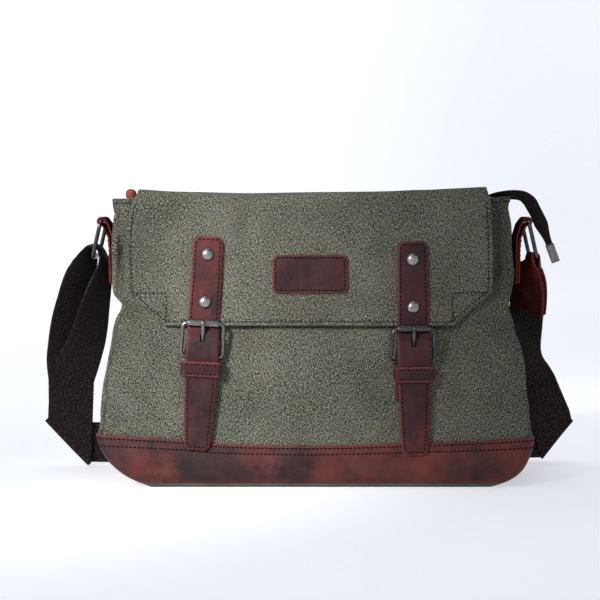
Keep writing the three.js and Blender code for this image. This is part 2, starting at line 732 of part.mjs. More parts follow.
// The normals of a strip's stations keep to the same side of it.
const aligned = (stations) => {
  stations.forEach((station, i) => {
    if (i && station[2].dot(stations[i - 1][2]) < 0) station[2].negate();
  });
  return stations;
};
const rightLeg = legStations(RIGHT_LEG, 1, 26);
add(
  "strap_webbing",
  strip(
    aligned([
      ...runStations(RUN_SEWN, 44).reverse(),
      ...foldStations(FOLD.leftX, 56, -1, FOLD.leftAngle, 3.9).reverse(),
      ...legStations([...LEFT_LEG_INNER, ...LEFT_ARCH, ...LEFT_LEG_OUTER], -1, 60),
      ...foldStations(FOLD.leftX, 58.7, -1, FOLD.leftAngle, 1.2),
      ...runStations(RUN_THROUGH, 60),
      ...foldStations(FOLD.rightX, 84, 1, FOLD.rightAngle, 1.3).reverse(),
      ...rightLeg,
    ]),
    WEBBING.thickness,
  ),
  WEAVE,
);
// The leather end is folded over the right ring's bar and sewn to both sides of the webbing.
const END_TAB = { foot: 147, thickness: 1.6, overhang: 0.5 };
const endTabSide = (sign) =>
  rightLeg.filter(([near]) => near.z > END_TAB.foot).map(([near, far, normal]) => {
    const shift = normal.clone().multiplyScalar(
      sign * (WEBBING.thickness / 2 + GAP + END_TAB.thickness / 2),
    );
    const wide = far.clone().sub(near).setLength(END_TAB.overhang);
    return [near.clone().add(shift).sub(wide), far.clone().add(shift).add(wide), normal.clone()];
  });
const overBar = Array.from({ length: 7 }, (_, i) => {
  const turn = (Math.PI * (i + 0.5)) / 7;
  const normal = new THREE.Vector3(Math.cos(turn), 0, Math.sin(turn));
  const at = new THREE.Vector3(ringFoot.x, 0, ringFoot.z)
    .addScaledVector(normal, RING.wire + GAP + END_TAB.thickness / 2);
  const half = new THREE.Vector3(0, WEBBING.width / 2 + END_TAB.overhang, 0);
  return [at.clone().sub(half), at.clone().add(half), normal];
});
const outerSign = rightLeg.at(-1)[2].x > 0 ? 1 : -1;
add(
  "strap_end_tab",
  strip(
    aligned([...endTabSide(outerSign), ...overBar, ...endTabSide(-outerSign).reverse()]),
    END_TAB.thickness,
  ),
  COWHIDE,
);
const adjuster = new THREE.Group();
adjuster.position.set(ADJUSTER.x, ADJUSTER.y, WEBBING.floor + WEBBING.width / 2);
root.add(adjuster);
const rail = WEBBING.width / 2 + 0.4 + ADJUSTER.wire;
const bar = (x) =>
  new THREE.CylinderGeometry(ADJUSTER.wire, ADJUSTER.wire, 2 * rail, 10).rotateX(Math.PI / 2)
    .translate(x, 0, 0);
add(
  "strap_adjuster",
  join(
    wireLoop(
      roundedRectangle(-ADJUSTER.pitch, ADJUSTER.pitch, -rail, rail, 2),
      48,
      ADJUSTER.wire,
    ),
    bar(0),
  ),
  GUNMETAL,
  adjuster,
);

// ---- The zip's tail: a ribbon out over the bag's right end, with a crimped end ----
const TAIL = { width: 12, endWidth: 6, thickness: 1.2 };
const TAIL_LINE = [
  [130, 0, 238.2, 90], [138, 0, 240.5, 90], [148, 0, 247.6, 90], [156, 0, 249.8, 90],
  [168, 0, 250.3, 88], [180, 0, 250, 84], [187.5, -1, 246, 66], [193, -2, 237.5, 38],
  [199.4, -3, 224, 14], [204.4, -3.5, 212, 6], [207.6, -4, 203.5, 2],
];
const tail = legStations(TAIL_LINE, 1, 30, (share) =>
  THREE.MathUtils.lerp(TAIL.width, TAIL.endWidth, THREE.MathUtils.smoothstep(share, 0.82, 0.96)));
add("zip_tail", strip(aligned(tail), TAIL.thickness), WEAVE);
const CLAMP = { width: 7.6, length: 17, thickness: 3.4, grip: 4 };
const [tailNear, tailFar] = tail.at(-1);
const tailEnd = tailNear.clone().add(tailFar).multiplyScalar(0.5);
const tailAcross = tailFar.clone().sub(tailNear).normalize();
const tailAlong = tailEnd.clone()
  .sub(tail.at(-2)[0].clone().add(tail.at(-2)[1]).multiplyScalar(0.5)).normalize();
const clamp = new THREE.Group();
clamp.matrixAutoUpdate = false;
clamp.matrix.makeBasis(tailAcross, new THREE.Vector3().crossVectors(tailAlong, tailAcross), tailAlong)
  .setPosition(tailEnd);
root.add(clamp);
const slotHalf = { x: TAIL.endWidth / 2 + GAP, y: TAIL.thickness / 2 + GAP };
add(
  "zip_tail_clamp",
  cut(
    box(-CLAMP.width / 2, CLAMP.width / 2, -CLAMP.thickness / 2, CLAMP.thickness / 2,
      -CLAMP.grip, CLAMP.length - CLAMP.grip),
    box(-slotHalf.x, slotHalf.x, -slotHalf.y, slotHalf.y, -CLAMP.grip - 1, 1),
  ),
  GUNMETAL,
  clamp,
);

export default root;
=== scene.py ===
"""A canvas messenger bag with leather trim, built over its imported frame.

Lengths are in millimetres up to the point where a mesh is made, in the frame's own axes: +X to the
right as seen from the front, +Y to the back, +Z up, the floor at 0.
"""
import json
import math

import bmesh
import bpy
import numpy as np
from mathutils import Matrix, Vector, noise


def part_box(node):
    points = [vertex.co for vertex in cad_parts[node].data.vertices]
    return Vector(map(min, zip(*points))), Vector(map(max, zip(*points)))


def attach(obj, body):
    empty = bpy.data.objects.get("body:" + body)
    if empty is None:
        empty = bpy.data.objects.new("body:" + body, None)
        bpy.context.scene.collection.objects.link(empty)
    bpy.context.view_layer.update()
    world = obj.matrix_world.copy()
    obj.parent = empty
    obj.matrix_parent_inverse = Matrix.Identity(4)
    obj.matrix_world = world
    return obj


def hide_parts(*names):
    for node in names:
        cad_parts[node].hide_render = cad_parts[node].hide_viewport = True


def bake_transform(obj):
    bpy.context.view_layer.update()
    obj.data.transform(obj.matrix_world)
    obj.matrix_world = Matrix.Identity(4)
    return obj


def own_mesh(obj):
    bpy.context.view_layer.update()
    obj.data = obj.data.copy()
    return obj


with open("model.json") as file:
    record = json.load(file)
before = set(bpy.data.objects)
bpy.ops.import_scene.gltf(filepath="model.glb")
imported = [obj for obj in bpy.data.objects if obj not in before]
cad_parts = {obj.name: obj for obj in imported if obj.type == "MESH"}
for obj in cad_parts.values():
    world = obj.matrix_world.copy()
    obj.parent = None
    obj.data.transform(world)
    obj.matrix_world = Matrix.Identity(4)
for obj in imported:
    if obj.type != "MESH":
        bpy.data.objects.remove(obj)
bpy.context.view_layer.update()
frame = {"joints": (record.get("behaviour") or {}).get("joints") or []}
MM = 0.001
TAU = 2 * math.pi

# ---- Camera ----
camera = bpy.data.objects.new("camera", bpy.data.cameras.new("camera"))
camera.data.lens = 91.9
camera.data.sensor_width = 36
camera.location = Vector((-12.7, -1350, 237)) * MM
camera.rotation_euler = (math.radians(90 - 3.36), 0, 0)
bpy.context.scene.collection.objects.link(camera)
bpy.context.scene.camera = camera

# ---- The bag's own sizes ----
BASE_HALF_DEPTH = 50
TOP_HALF_DEPTH = 32
HEIGHT = 247
SLOPE = (BASE_HALF_DEPTH - TOP_HALF_DEPTH) / HEIGHT
TILT = math.atan(SLOPE)
BAND_TOP = 47
HEM_HEIGHT = 136.7  # of the flap's hem
FLAP_TOP = 254
WEBBING_WIDTH = 37
WEBBING_THICKNESS = 2
WEAVE_PITCH = 0.0023  # in metres, as the materials are
OUT = np.array([0, -math.cos(TILT), math.sin(TILT)])  # away from the leaning front face
UP = np.array([0, math.sin(TILT), math.cos(TILT)])  # up the front face
RIGHT = np.array([1.0, 0, 0])


def on_front(x, out, up):
    """A point at a distance out of the front face."""
    return np.array([0, -BASE_HALF_DEPTH, 0]) + RIGHT * x + OUT * out + UP * up


def corners(node):
    """A CAD node's lowest and highest corners."""
    low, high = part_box(node)
    return np.array(low) / MM, np.array(high) / MM


# ---- Curves and grids ----
def xyz(x, y, z):
    return np.stack(np.broadcast_arrays(x, y, z), -1)


def unit(v):
    return v / np.maximum(np.linalg.norm(v, axis=-1, keepdims=True), 1e-9)


def lengths(points):
    step = np.linalg.norm(np.diff(points, axis=0), axis=1)
    return np.concatenate([[0], np.cumsum(step)])


def track(line, run_of=None):
    """A function from a run along a line to the coordinates there."""
    run_of = lengths(line) if run_of is None else run_of
    return lambda run: np.stack([np.interp(run, run_of, column) for column in line.T])


def resample(points, count):
    return track(points)(np.linspace(0, lengths(points)[-1], count)).T


def spline(points, count):
    """Evenly spaced points on a smooth curve through points of any dimension."""
    p = np.array(points, float)
    p = np.vstack([2 * p[0] - p[1], p, 2 * p[-1] - p[-2]])
    step = np.sqrt(np.linalg.norm(np.diff(p, axis=0), axis=1))
    knot = np.concatenate([[0], np.cumsum(step)])

    def between(t, a, b, p_a, p_b):
        return ((knot[b] - t) * p_a + (t - knot[a]) * p_b) / (knot[b] - knot[a])

    fine = []
    for i in range(1, len(p) - 2):
        t = np.linspace(knot[i], knot[i + 1], 24, endpoint=i == len(p) - 3)[:, None]
        a = [between(t, k, k + 1, p[k], p[k + 1]) for k in (i - 1, i, i + 1)]
        b = [between(t, i - 1, i + 1, a[0], a[1]), between(t, i, i + 2, a[1], a[2])]
        fine.append(between(t, i, i + 1, *b))
    return resample(np.vstack(fine), count)


def smoothstep(x, low, high):
    t = np.clip((x - low) / (high - low), 0, 1)
    return t * t * (3 - 2 * t)


def hump(gap, width):
    return np.exp(-((gap / width) ** 2))


def half_wave(share):
    """1 at 0, falling to 0 at -1 and 1."""
    return np.cos(np.clip(share, -1, 1) * math.pi / 2)


def soft_noise(points, scale, seed):
    """Smooth noise from about -1 to 1 at each point, with features about as wide as scale."""
    shift = Vector((seed * 17.3, seed * 5.1, seed * 9.7))
    values = [noise.fractal(Vector(p) / scale + shift, 0.6, 2.0, 2) for p in points.reshape(-1, 3)]
    return np.array(values).reshape(points.shape[:-1])


def rounding(distance, thickness, radius=None):
    """How thick a sheet is at a distance from its rounded edge."""
    near = np.clip(distance / (radius or thickness / 2), 0, 1)
    return thickness * np.sqrt(1 - (1 - near) ** 2)


# ---- Meshes ----
def mesh_object(name, verts, faces, material, uv=None, edge=None, smooth=True):
    mesh = bpy.data.meshes.new(name)
    mesh.from_pydata((np.asarray(verts) * MM).tolist(), [], faces)
    mesh.update()
    shell = bmesh.new()
    shell.from_mesh(mesh)
    bmesh.ops.recalc_face_normals(shell, faces=shell.faces)
    shell.to_mesh(mesh)
    shell.free()
    if uv is not None:
        layer = mesh.uv_layers.new(name="UVMap")
        loops = np.zeros(len(mesh.loops), int)
        mesh.loops.foreach_get("vertex_index", loops)
        layer.data.foreach_set("uv", (uv[loops] * MM).ravel())
        store = mesh.attributes.new("edge", "FLOAT", "POINT")
        store.data.foreach_set("value", edge.astype(np.float32))
    if smooth:
        mesh.shade_smooth()
        mesh.set_sharp_from_angle(angle=math.radians(62))
    mesh.materials.append(material)
    obj = bpy.data.objects.new(name, mesh)
    bpy.context.scene.collection.objects.link(obj)
    return obj


def grid_normals(grid, wrap=False):
    down = (np.roll(grid, -1, 0) - np.roll(grid, 1, 0)) / 2 if wrap else np.gradient(grid, axis=0)
    return unit(np.cross(np.gradient(grid, axis=1), down))


def sheet_mesh(name, middle, thickness, material, wrap=False, edge=0.0, uv_turn=False):
    """A closed sheet round a grid of points. Its thickness is 0 where top and bottom meet."""
    rows, cols = middle.shape[:2]
    thickness = np.broadcast_to(thickness, (rows, cols))
    half = grid_normals(middle, wrap) * thickness[..., None] / 2
    top = np.arange(rows * cols).reshape(rows, cols)
    rim = np.zeros((rows, cols), bool)
    rim[:, [0, -1]] = True
    if not wrap:
        rim[[0, -1], :] = True
    split = ~(rim & (thickness < 1e-6))
    bottom = np.where(split, 0, top)
    bottom[split] = rows * cols + np.arange(split.sum())
    verts = np.vstack([(middle + half).reshape(-1, 3), (middle - half)[split]])
    down = np.linalg.norm(np.diff(middle, axis=0), axis=2)
    across = np.linalg.norm(np.diff(middle, axis=1), axis=2)
    side = np.cumsum(np.hstack([np.zeros((rows, 1)), across]), 1)
    side = side - side[:, [cols // 2]]
    if wrap:
        side = np.repeat(side.mean(0)[None], rows, 0)
    run = np.cumsum(np.append(0, down.mean(1) if wrap else down[:, cols // 2]))
    uv = np.stack([side, np.repeat(run[:, None], cols, 1)], -1)
    if uv_turn:
        uv = uv[..., ::-1]
    edge = np.broadcast_to(edge, (rows, cols))
    quads = []
    for i in range(rows if wrap else rows - 1):
        n = (i + 1) % rows
        for j in range(cols - 1):
            quads.append((top[i, j], top[i, j + 1], top[n, j + 1], top[n, j]))
            quads.append((bottom[i, j], bottom[n, j], bottom[n, j + 1], bottom[i, j + 1]))
        quads += [(top[i, j], top[n, j], bottom[n, j], bottom[i, j]) for j in (0, -1)]
    if not wrap:
        for i in (0, -1):
            for j in range(cols - 1):
                quads.append((top[i, j], top[i, j + 1], bottom[i, j + 1], bottom[i, j]))
    rings = [[int(a) for a, b in zip(q, q[1:] + q[:1]) if a != b] for q in quads]
    faces = [ring for ring in rings if len(ring) > 2]
    uv = np.vstack([uv.reshape(-1, 2), uv[split]])
    return mesh_object(name, verts, faces, material, uv, np.append(edge, edge[split]))


EDGE_STEPS = np.array([0, 0.08, 0.3, 0.65, 1.0])  # columns across a rounded edge, in radii


def edged(total, radius, inner, start=len(EDGE_STEPS)):
    """Places from 0 to total, close together at the rounded edges."""
    low, high = EDGE_STEPS[:start] * radius, total - EDGE_STEPS[::-1] * radius
    return np.concatenate([low, np.linspace(low[-1], high[0], inner + 2)[1:-1], high])


def across_columns(half, radius, inner):
    """Places across a strip from -half to half, close together at its rounded edges."""
    return edged(2 * half, radius, inner) - half


def leather_strip(name, place, length, half_width, thickness, material, corner, inner, columns):
    """A leather piece laid along a line. place(run, side) gives points from run and side."""
    radius = thickness * 0.6
    ease = corner * (1 - np.cos(np.linspace(0, math.pi / 2, 6)))[1:]
    rim = np.unique(np.round(np.concatenate([EDGE_STEPS * radius, ease]), 4))
    middle = np.linspace(rim[-1], length - rim[-1], inner + 2)[1:-1]
    run = np.concatenate([rim, middle, length - rim[::-1]])
    ends = np.minimum(run, length - run)
    drawn_in = corner - np.sqrt(corner**2 - np.clip(corner - ends, 0, corner) ** 2)
    widths = half_width(run) - drawn_in
    side = np.array([across_columns(w, radius, columns) for w in widths])
    distance = np.minimum(widths[:, None] - np.abs(side), ends[:, None])
    distance[:, [0, -1]] = 0
    grid = place(run[:, None] * np.ones_like(side), side)
    thick = rounding(distance, thickness, radius)
    return sheet_mesh(name, grid, thick, material, edge=np.exp(-distance / 0.65))


def ring_faces(rings, sides, first=0, closed=False):
    """Quads between rings of points that follow one another, first being the first point."""
    faces = []
    for i in range(rings if closed else rings - 1):
        a, b = first + i * sides, first + (i + 1) % rings * sides
        faces += [[a + k, a + (k + 1) % sides, b + (k + 1) % sides, b + k] for k in range(sides)]
    return faces


def rod_faces(rings, sides, first=0):
    """The same with both ends closed."""
    ends = [[first + i * sides + k for k in range(sides)] for i in (0, rings - 1)]
    return ring_faces(rings, sides, first) + ends


def lathe(name, profile, material, turns=40):
    """A solid of revolution about Z from (radius, height) pairs that start and end on the axis."""
    angle = np.linspace(0, TAU, turns, endpoint=False)
    verts = [[0, 0, profile[0][1]]]
    verts += [[r * math.cos(a), r * math.sin(a), h] for r, h in profile[1:-1] for a in angle]
    verts.append([0, 0, profile[-1][1]])
    last = len(verts) - 1
    faces = ring_faces(len(profile) - 2, turns, 1)
    for tip, start in ((0, 1), (last, last - turns)):
        faces += [[tip, start + k, start + (k + 1) % turns] for k in range(turns)]
    return mesh_object(name, verts, faces, material)


def tube(name, path, radius, material, closed=False, sides=14, hint=(0, 1, 0)):
    """A round wire along points."""
    count = len(path)
    along = np.gradient(path, axis=0)
    if closed:
        along = np.roll(path, -1, 0) - np.roll(path, 1, 0)
    first = unit(np.cross(unit(along), hint))
    second = np.cross(unit(along), first)
    radii = np.broadcast_to(radius, (count,))
    turns = np.linspace(0, TAU, sides, endpoint=False)
    verts = [
        path[i] + radii[i] * (math.cos(t) * first[i] + math.sin(t) * second[i])
        for i in range(count)
        for t in turns
    ]
    faces = ring_faces(count, sides, closed=True) if closed else rod_faces(count, sides)
    return mesh_object(name, verts, faces, material)


def rounded_loop(half_x, low, high, radius, count):
    """A rounded rectangle as evenly spaced (x, height) points, from -half_x to half_x."""
    points = []
    right, top, bottom = half_x - radius, high - radius, low + radius
    for k, (x, z) in enumerate([(right, top), (-right, top), (-right, bottom), (right, bottom)]):
        for t in np.linspace(0, math.pi / 2, 9) + k * math.pi / 2:
            points.append([x + radius * math.cos(t), z + radius * math.sin(t)])
    return resample(np.array(points + points[:1]), count + 1)[:-1]


def join(name, objects):
    """Objects merged into the first one."""
    for obj in bpy.context.selected_objects:
        obj.select_set(False)
    for obj in objects:
        obj.select_set(True)
    bpy.context.view_layer.objects.active = objects[0]
    bpy.ops.object.join()
    objects[0].name = objects[0].data.name = name
    objects[0].select_set(False)
    return objects[0]


def moved_verts(obj, move):
    """Moves a mesh's points before its piece is finished. move takes and gives millimetres."""
    verts = np.array([v.co for v in obj.data.vertices]) / MM
    obj.data.vertices.foreach_set("co", (move(verts) * MM).ravel())
    obj.data.update()
    return obj


def finish_piece(obj, body, nodes=(), bend=None):
    """Gives a piece its body and the CAD nodes it stands for.

    A piece given bend, whose body then names two bodies, only has its transform baked in: it is attached to
    no body, and the places in bend are not used.
    """
    if bend:
        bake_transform(obj)
    else:
        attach(obj, body)
    if nodes:
        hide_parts(*nodes)


# ---- Stitches: short threads, each a small rounded dash ----
def sew(name, lines, material, pitch, dash, radius, body, bend=None):
    """lines holds (points, normals) pairs: where a row of stitches runs and which way is out."""
    verts, faces = [], []
    rings = ((-0.5, 0.35), (-0.42, 0.85), (0, 1.0), (0.42, 0.85), (0.5, 0.35))
    sides = 6
    sink = 0.15
    for points, normals in lines:
        total = lengths(points)[-1]
        line = track(points)
        normal_at = track(np.broadcast_to(normals, points.shape), lengths(points))
        count = max(1, int(round(total / pitch)))
        for k in range(count):
            middle = (k + 0.5) * total / count
            at = line(middle)
            along = unit(line(middle + dash / 2) - line(middle - dash / 2))
            n = unit(normal_at(middle))
            cross = np.cross(along, n)
            faces += rod_faces(len(rings), sides, len(verts))
            for share, size in rings:
                centre = at + along * share * dash - n * sink
                for t in np.arange(sides) * TAU / sides:
                    verts.append(centre + radius * size * (math.cos(t) * cross + math.sin(t) * n))
    finish_piece(mesh_object(name, verts, faces, material), body, bend=bend)


def placed_line(place, run, side, lift):
    """A line of stitches on a strip's face: points and outward normals from place(run, side)."""
    run, side = np.broadcast_arrays(run, side)
    ahead = place(run + 0.5, side) - place(run - 0.5, side)
    across = place(run, side + 0.5) - place(run, side - 0.5)
    normals = unit(np.cross(across, ahead))
    return place(run, side) + normals * lift, normals


# ---- Materials ----
class Shader:
    """Short calls that build one material's nodes."""

    def __init__(self, name, **sockets):
        self.material = bpy.data.materials.new(name)
        self.material.use_nodes = True
        self.nodes = self.material.node_tree.nodes
        self.links = self.material.node_tree.links
        self.bsdf = self.nodes["Principled BSDF"]
        for socket, value in sockets.items():
            self.bsdf.inputs[socket.replace("_", " ")].default_value = value

    def add(self, kind, output=0, inputs=(), **settings):
        node = self.nodes.new("ShaderNode" + kind)
        for key, value in settings.items():
            setattr(node, key, value)
        for key, value in dict(inputs).items():
            if isinstance(value, bpy.types.NodeSocket):
                self.links.new(value, node.inputs[key])
            else:
                node.inputs[key].default_value = value
        return node.outputs[output]

    def math(self, operation, a, b=0.5, clamp=False):
        return self.add("Math", 0, {0: a, 1: b}, operation=operation, use_clamp=clamp)

    def times(self, a, b, clamp=False):
        return self.math("MULTIPLY", a, b, clamp)

    def plus(self, a, b):
        return self.math("ADD", a, b)

    def mix(self, share, a, b):
        a, b = (c + (1,) if isinstance(c, tuple) else c for c in (a, b))
        return self.add("Mix", 2, {0: share, 6: a, 7: b}, data_type="RGBA")

    def ramp(self, value, low, high, to_low=0.0, to_high=1.0, **settings):
        sockets = {0: value, 1: low, 2: high, 3: to_low, 4: to_high}
        return self.add("MapRange", 0, sockets, **settings)

    def noise(self, where, scale, detail=3.0, rough=0.55):
        sockets = {"Vector": where, "Scale": scale, "Detail": detail, "Roughness": rough}
        return self.add("TexNoise", 0, sockets)

    def stretched(self, where, x, y, z=1.0):
        return self.add("VectorMath", 0, {0: where, 1: (x, y, z)}, operation="MULTIPLY")

    def yarn(self, uv, x, y):
        """Noise drawn out along the threads, x and y being its scales across and along."""
        return self.noise(self.stretched(uv, x, y), 1.0, 2.0, 0.6)

    def bump(self, height, distance, strength=1.0, under=None):
        sockets = {"Height": height, "Distance": distance, "Strength": strength}
        if under is not None:
            sockets["Normal"] = under
        return self.add("Bump", 0, sockets)

    def set(self, socket, value):
        self.links.new(value, self.bsdf.inputs[socket])


def canvas_material(name, dark, light):
    """Stonewashed canvas: a plain weave with uneven yarns, slubs and flecks."""
    s = Shader(name, Roughness=0.92, Specular_IOR_Level=0.08)
    uv = s.add("TexCoord", "UV")
    where = s.add("TexCoord", "Object")
    yarns = s.times(s.plus(s.yarn(uv, 540, 1500), s.yarn(uv, 1500, 480)), 0.5)
    slubs = s.yarn(uv, 1350, 1150)
    drift = s.times(s.noise(s.stretched(uv, 160, 160), 1.0, 2.0), 5.0)
    axes = s.add("SeparateXYZ", 0, {0: uv}).node.outputs
    ribs = [s.math("SINE", s.plus(s.times(a, TAU / WEAVE_PITCH), drift)) for a in axes[:2]]
    weave = s.times(ribs[0], ribs[1])
    faded = s.math("SUBTRACT", s.noise(where, 18.0, 4.0), 0.5)
    tone = s.plus(s.times(yarns, 0.66), s.times(slubs, 0.34))
    tone = s.plus(s.plus(tone, s.times(weave, 0.03)), s.times(faded, 0.07))
    share = s.math("POWER", s.ramp(tone, 0.464, 0.556), 1.25)
    warm = tuple(c * t for c, t in zip(light, (1.05, 0.97, 0.88)))
    brownish = s.ramp(s.noise(where, 60.0, 5.0, 0.7), 0.4, 0.64)
    base = s.mix(share, dark, s.mix(brownish, light, warm))
    # painted shade: the edge attribute darkens the canvas under the flap's hem, high up at the right end and
    # in the flap's stitch grooves, and along the flap's cut edge
    seam = s.times(s.add("Attribute", "Fac", attribute_name="edge"), 0.55, clamp=True)
    s.set("Base Color", s.mix(seam, base, dark))
    height = s.plus(s.times(weave, 0.5), s.times(tone, 2.4))
    soft = s.bump(s.noise(where, 90.0, 3.0), 0.0008, 0.8)
    s.set("Normal", s.bump(height, 0.00035, 0.9, soft))
    return s.material


def leather_material(name, dark, mid, red, raw, red_share, shine=0.2, rough=0.46):
    """Waxed pull-up leather: dark where it is waxed, redder where it is bent, with raw edges."""
    s = Shader(name, Specular_IOR_Level=shine)
    where = s.add("TexCoord", "Object")
    cloud = s.noise(where, 26.0, 5.0, 0.6)
    fine = s.noise(where, 240.0, 4.0, 0.65)
    blotch = s.plus(s.times(cloud, 0.75), s.times(fine, 0.25))
    base = s.mix(s.ramp(blotch, 0.38, 0.56), dark, mid)
    bent = s.noise(where, 15.0, 6.0, 0.68)
    pulled = s.ramp(bent, 0.60 - 0.22 * red_share, 0.80 - 0.2 * red_share)
    base = s.mix(s.times(pulled, 0.75), base, red)
    scuffs = s.ramp(s.noise(s.stretched(where, 900, 300, 260), 1.0, 3.0, 0.7), 0.68, 0.8)
    base = s.mix(s.times(scuffs, 0.35), base, red)
    edge = s.add("Attribute", "Fac", attribute_name="edge")
    worn = s.times(edge, s.plus(s.ramp(fine, 0.3, 0.65), 0.55), clamp=True)
    s.set("Base Color", s.mix(worn, base, raw))
    s.set("Roughness", s.ramp(fine, 0.3, 0.75, rough, rough + 0.2))
    grain = s.add("TexVoronoi", 0, {"Vector": where, "Scale": 1150.0, "Randomness": 1.0})
    pores = s.bump(grain, 0.00012, 0.5)
    s.set("Normal", s.bump(s.plus(fine, s.times(cloud, 1.5)), 0.0007, 0.6, pores))
    return s.material


def webbing_material(name, thread, gap, pitch=0.0021):
    """Ribbed webbing: rows of short floats that show as dots."""
    s = Shader(name, Roughness=0.8, Specular_IOR_Level=0.12)
    uv = s.add("TexCoord", "UV")
    axes = s.add("SeparateXYZ", 0, {0: uv}).node.outputs
    ribs = [s.math("SINE", s.times(axis, TAU / pitch)) for axis in axes[:2]]
    dots = s.times(ribs[0], ribs[1])
    floats = s.yarn(uv, 520, 900)
    tone = s.plus(floats, s.times(dots, 0.045))
    s.set("Base Color", s.mix(s.math("POWER", s.ramp(tone, 0.46, 0.66), 1.5), gap, thread))
    s.set("Normal", s.bump(s.plus(dots, s.times(floats, 3.0)), 0.0004, 0.9))
    return s.material


def metal_material(name, bright, worn, rough, patina):
    s = Shader(name, Metallic=1.0)
    where = s.add("TexCoord", "Object")
    cloud = s.noise(where, 210.0, 5.0, 0.65)
    s.set("Base Color", s.mix(s.times(s.ramp(cloud, 0.42, 0.68), patina), bright, worn))
    s.set("Roughness", s.ramp(cloud, 0.3, 0.7, rough, rough + 0.2))
    s.set("Normal", s.bump(s.noise(where, 700.0, 3.0), 0.00005, 0.5))
    return s.material


def thread_material(name, color):
    s = Shader(name, Roughness=0.8, Specular_IOR_Level=0.06)
    fibres = s.noise(s.add("TexCoord", "Object"), 900.0)
    s.set("Base Color", s.mix(fibres, color, tuple(1.8 * c for c in color)))
    return s.material


CANVAS = canvas_material("canvas", (0.011, 0.013, 0.01), (0.2, 0.203, 0.165))
# a darker copy of the canvas for the piping and the base panel: painted shade near the floor
PAINTED_SHADE_PIPING = canvas_material("piping", (0.008, 0.009, 0.007), (0.12, 0.125, 0.1))
LINING = canvas_material("lining", (0.03, 0.03, 0.027), (0.1, 0.098, 0.09))
RAW_EDGE = (0.135, 0.025, 0.02)
LEATHER = leather_material("leather", (0.013, 0.0042, 0.0052), (0.036, 0.0095, 0.0112),
                           (0.1, 0.018, 0.016), RAW_EDGE, 0.45)
BASE_LEATHER = leather_material("base_leather", (0.009, 0.003, 0.0034), (0.034, 0.008, 0.0085),
                                (0.13, 0.024, 0.0175), RAW_EDGE, 0.6, 0.25)
# a lighter copy of the leather for the side tabs and the end tab: painted light on tabs that sit in the
# body's shadow
LIT_TAB_LEATHER = leather_material("tab_leather", (0.026, 0.0062, 0.0064), (0.066, 0.014, 0.0135),
                               (0.17, 0.03, 0.024), (0.15, 0.027, 0.021), 0.5, 0.0, 0.75)
PULL_LEATHER = leather_material("pull_leather", (0.075, 0.014, 0.009), (0.16, 0.031, 0.018),
                                (0.3, 0.07, 0.035), (0.3, 0.07, 0.035), 0.5)
WEBBING = webbing_material("webbing", (0.085, 0.058, 0.061), (0.0062, 0.0038, 0.0043))
RIBBON = webbing_material("ribbon", (0.055, 0.036, 0.038), (0.01, 0.006, 0.0065), 0.0016)
NICKEL = metal_material("aged_nickel", (0.36, 0.35, 0.335), (0.1, 0.096, 0.09), 0.2, 0.75)
STEEL = metal_material("steel", (0.24, 0.235, 0.23), (0.06, 0.058, 0.056), 0.16, 0.8)
GUNMETAL = metal_material("gunmetal", (0.088, 0.087, 0.088), (0.03, 0.03, 0.031), 0.18, 0.7)
THREAD = thread_material("thread", (0.0045, 0.0028, 0.0032))
CANVAS_THREAD = thread_material("canvas_thread", (0.007, 0.007, 0.006))


# ---- The body's section at each height ----
# (height, half width) up each end of the bag
LEFT_END = [
    (56, 184.2), (77, 183.5), (96, 181.5), (127, 175.8), (142, 171.5), (153, 167.2), (158, 167.6),
    (164, 173.2), (172, 174.6), (200, 173.6), (225, 173.2), (238, 171.2), (248, 173.8),
]
RIGHT_END = [
    (56, 185.4), (86, 181.8), (114, 178.2), (138, 171.8), (154, 167.6), (166, 169.6), (180, 171.4),
    (205, 169.8), (226, 169.0), (238, 166.4), (248, 169.8),
]
# the round lower corner at each end, as a quadratic curve
LEFT_CORNER = ((140, 0), (177, 12), (186.5, 47))
RIGHT_CORNER = ((150, 0), (183, 6), (187, 47))
SEAM_RADIUS = 5
NOTCH = 157  # where the gussets buckle under the side tabs


def end_profile(corner, end):
    t = np.linspace(0, 1, 25)[:, None]
    a, b, c = (np.array(p, float) for p in corner)
    low = (1 - t) ** 2 * a + 2 * t * (1 - t) * b + t**2 * c
    return np.vstack([low, spline([(w, z) for z, w in end], 120)])


END_PROFILES = (end_profile(LEFT_CORNER, LEFT_END), end_profile(RIGHT_CORNER, RIGHT_END))


def half_depth(z):
    return BASE_HALF_DEPTH - SLOPE * z


def perimeter(front_steps, side_steps):
    """Stations round the body: where each is on the section's core, and which way it faces."""
    stations = []
    sides = [(-1, -1, 1, -1, 0, -1, front_steps), (1, -1, 1, 1, 1, 0, side_steps),
             (1, 1, -1, 1, 0, 1, front_steps), (-1, 1, -1, -1, -1, 0, side_steps)]
    for x0, y0, x1, y1, nx, ny, steps in sides:
        for t in np.linspace(0, 1, steps):
            stations.append((x0 + (x1 - x0) * t, y0 + (y1 - y0) * t, nx, ny))
        for turn in np.linspace(0, math.pi / 2, 5)[1:-1]:
            c, s = math.cos(turn), math.sin(turn)
            stations.append((x1, y1, nx * c - ny * s, ny * c + nx * s))
    return np.array(stations)


def station_grid(stations, places):
    """Each station at each place up the wall, as two grids."""
    return np.repeat(stations[:, None], len(places), 1), np.tile(places, (len(stations), 1))


def rounded_section(stations, middle, half_x, half_y, z):
    cx, cy, nx, ny = np.moveaxis(stations, -1, 0)
    x = middle + cx * (half_x - SEAM_RADIUS) + nx * SEAM_RADIUS
    return xyz(x, cy * (half_y - SEAM_RADIUS) + ny * SEAM_RADIUS, z)


def body_point(stations, z):
    """Points round the body's plain section at heights z."""
    left, right = (np.interp(z, profile[:, 1], profile[:, 0]) for profile in END_PROFILES)
    return rounded_section(stations, (right - left) / 2, (right + left) / 2, half_depth(z), z)


def pushed_out(points, stations, out):
    moved = points.copy()
    moved[..., :2] += stations[..., 2:4] * out[..., None]
    return moved


def facing(stations):
    return xyz(stations[..., 2], stations[..., 3], 0)


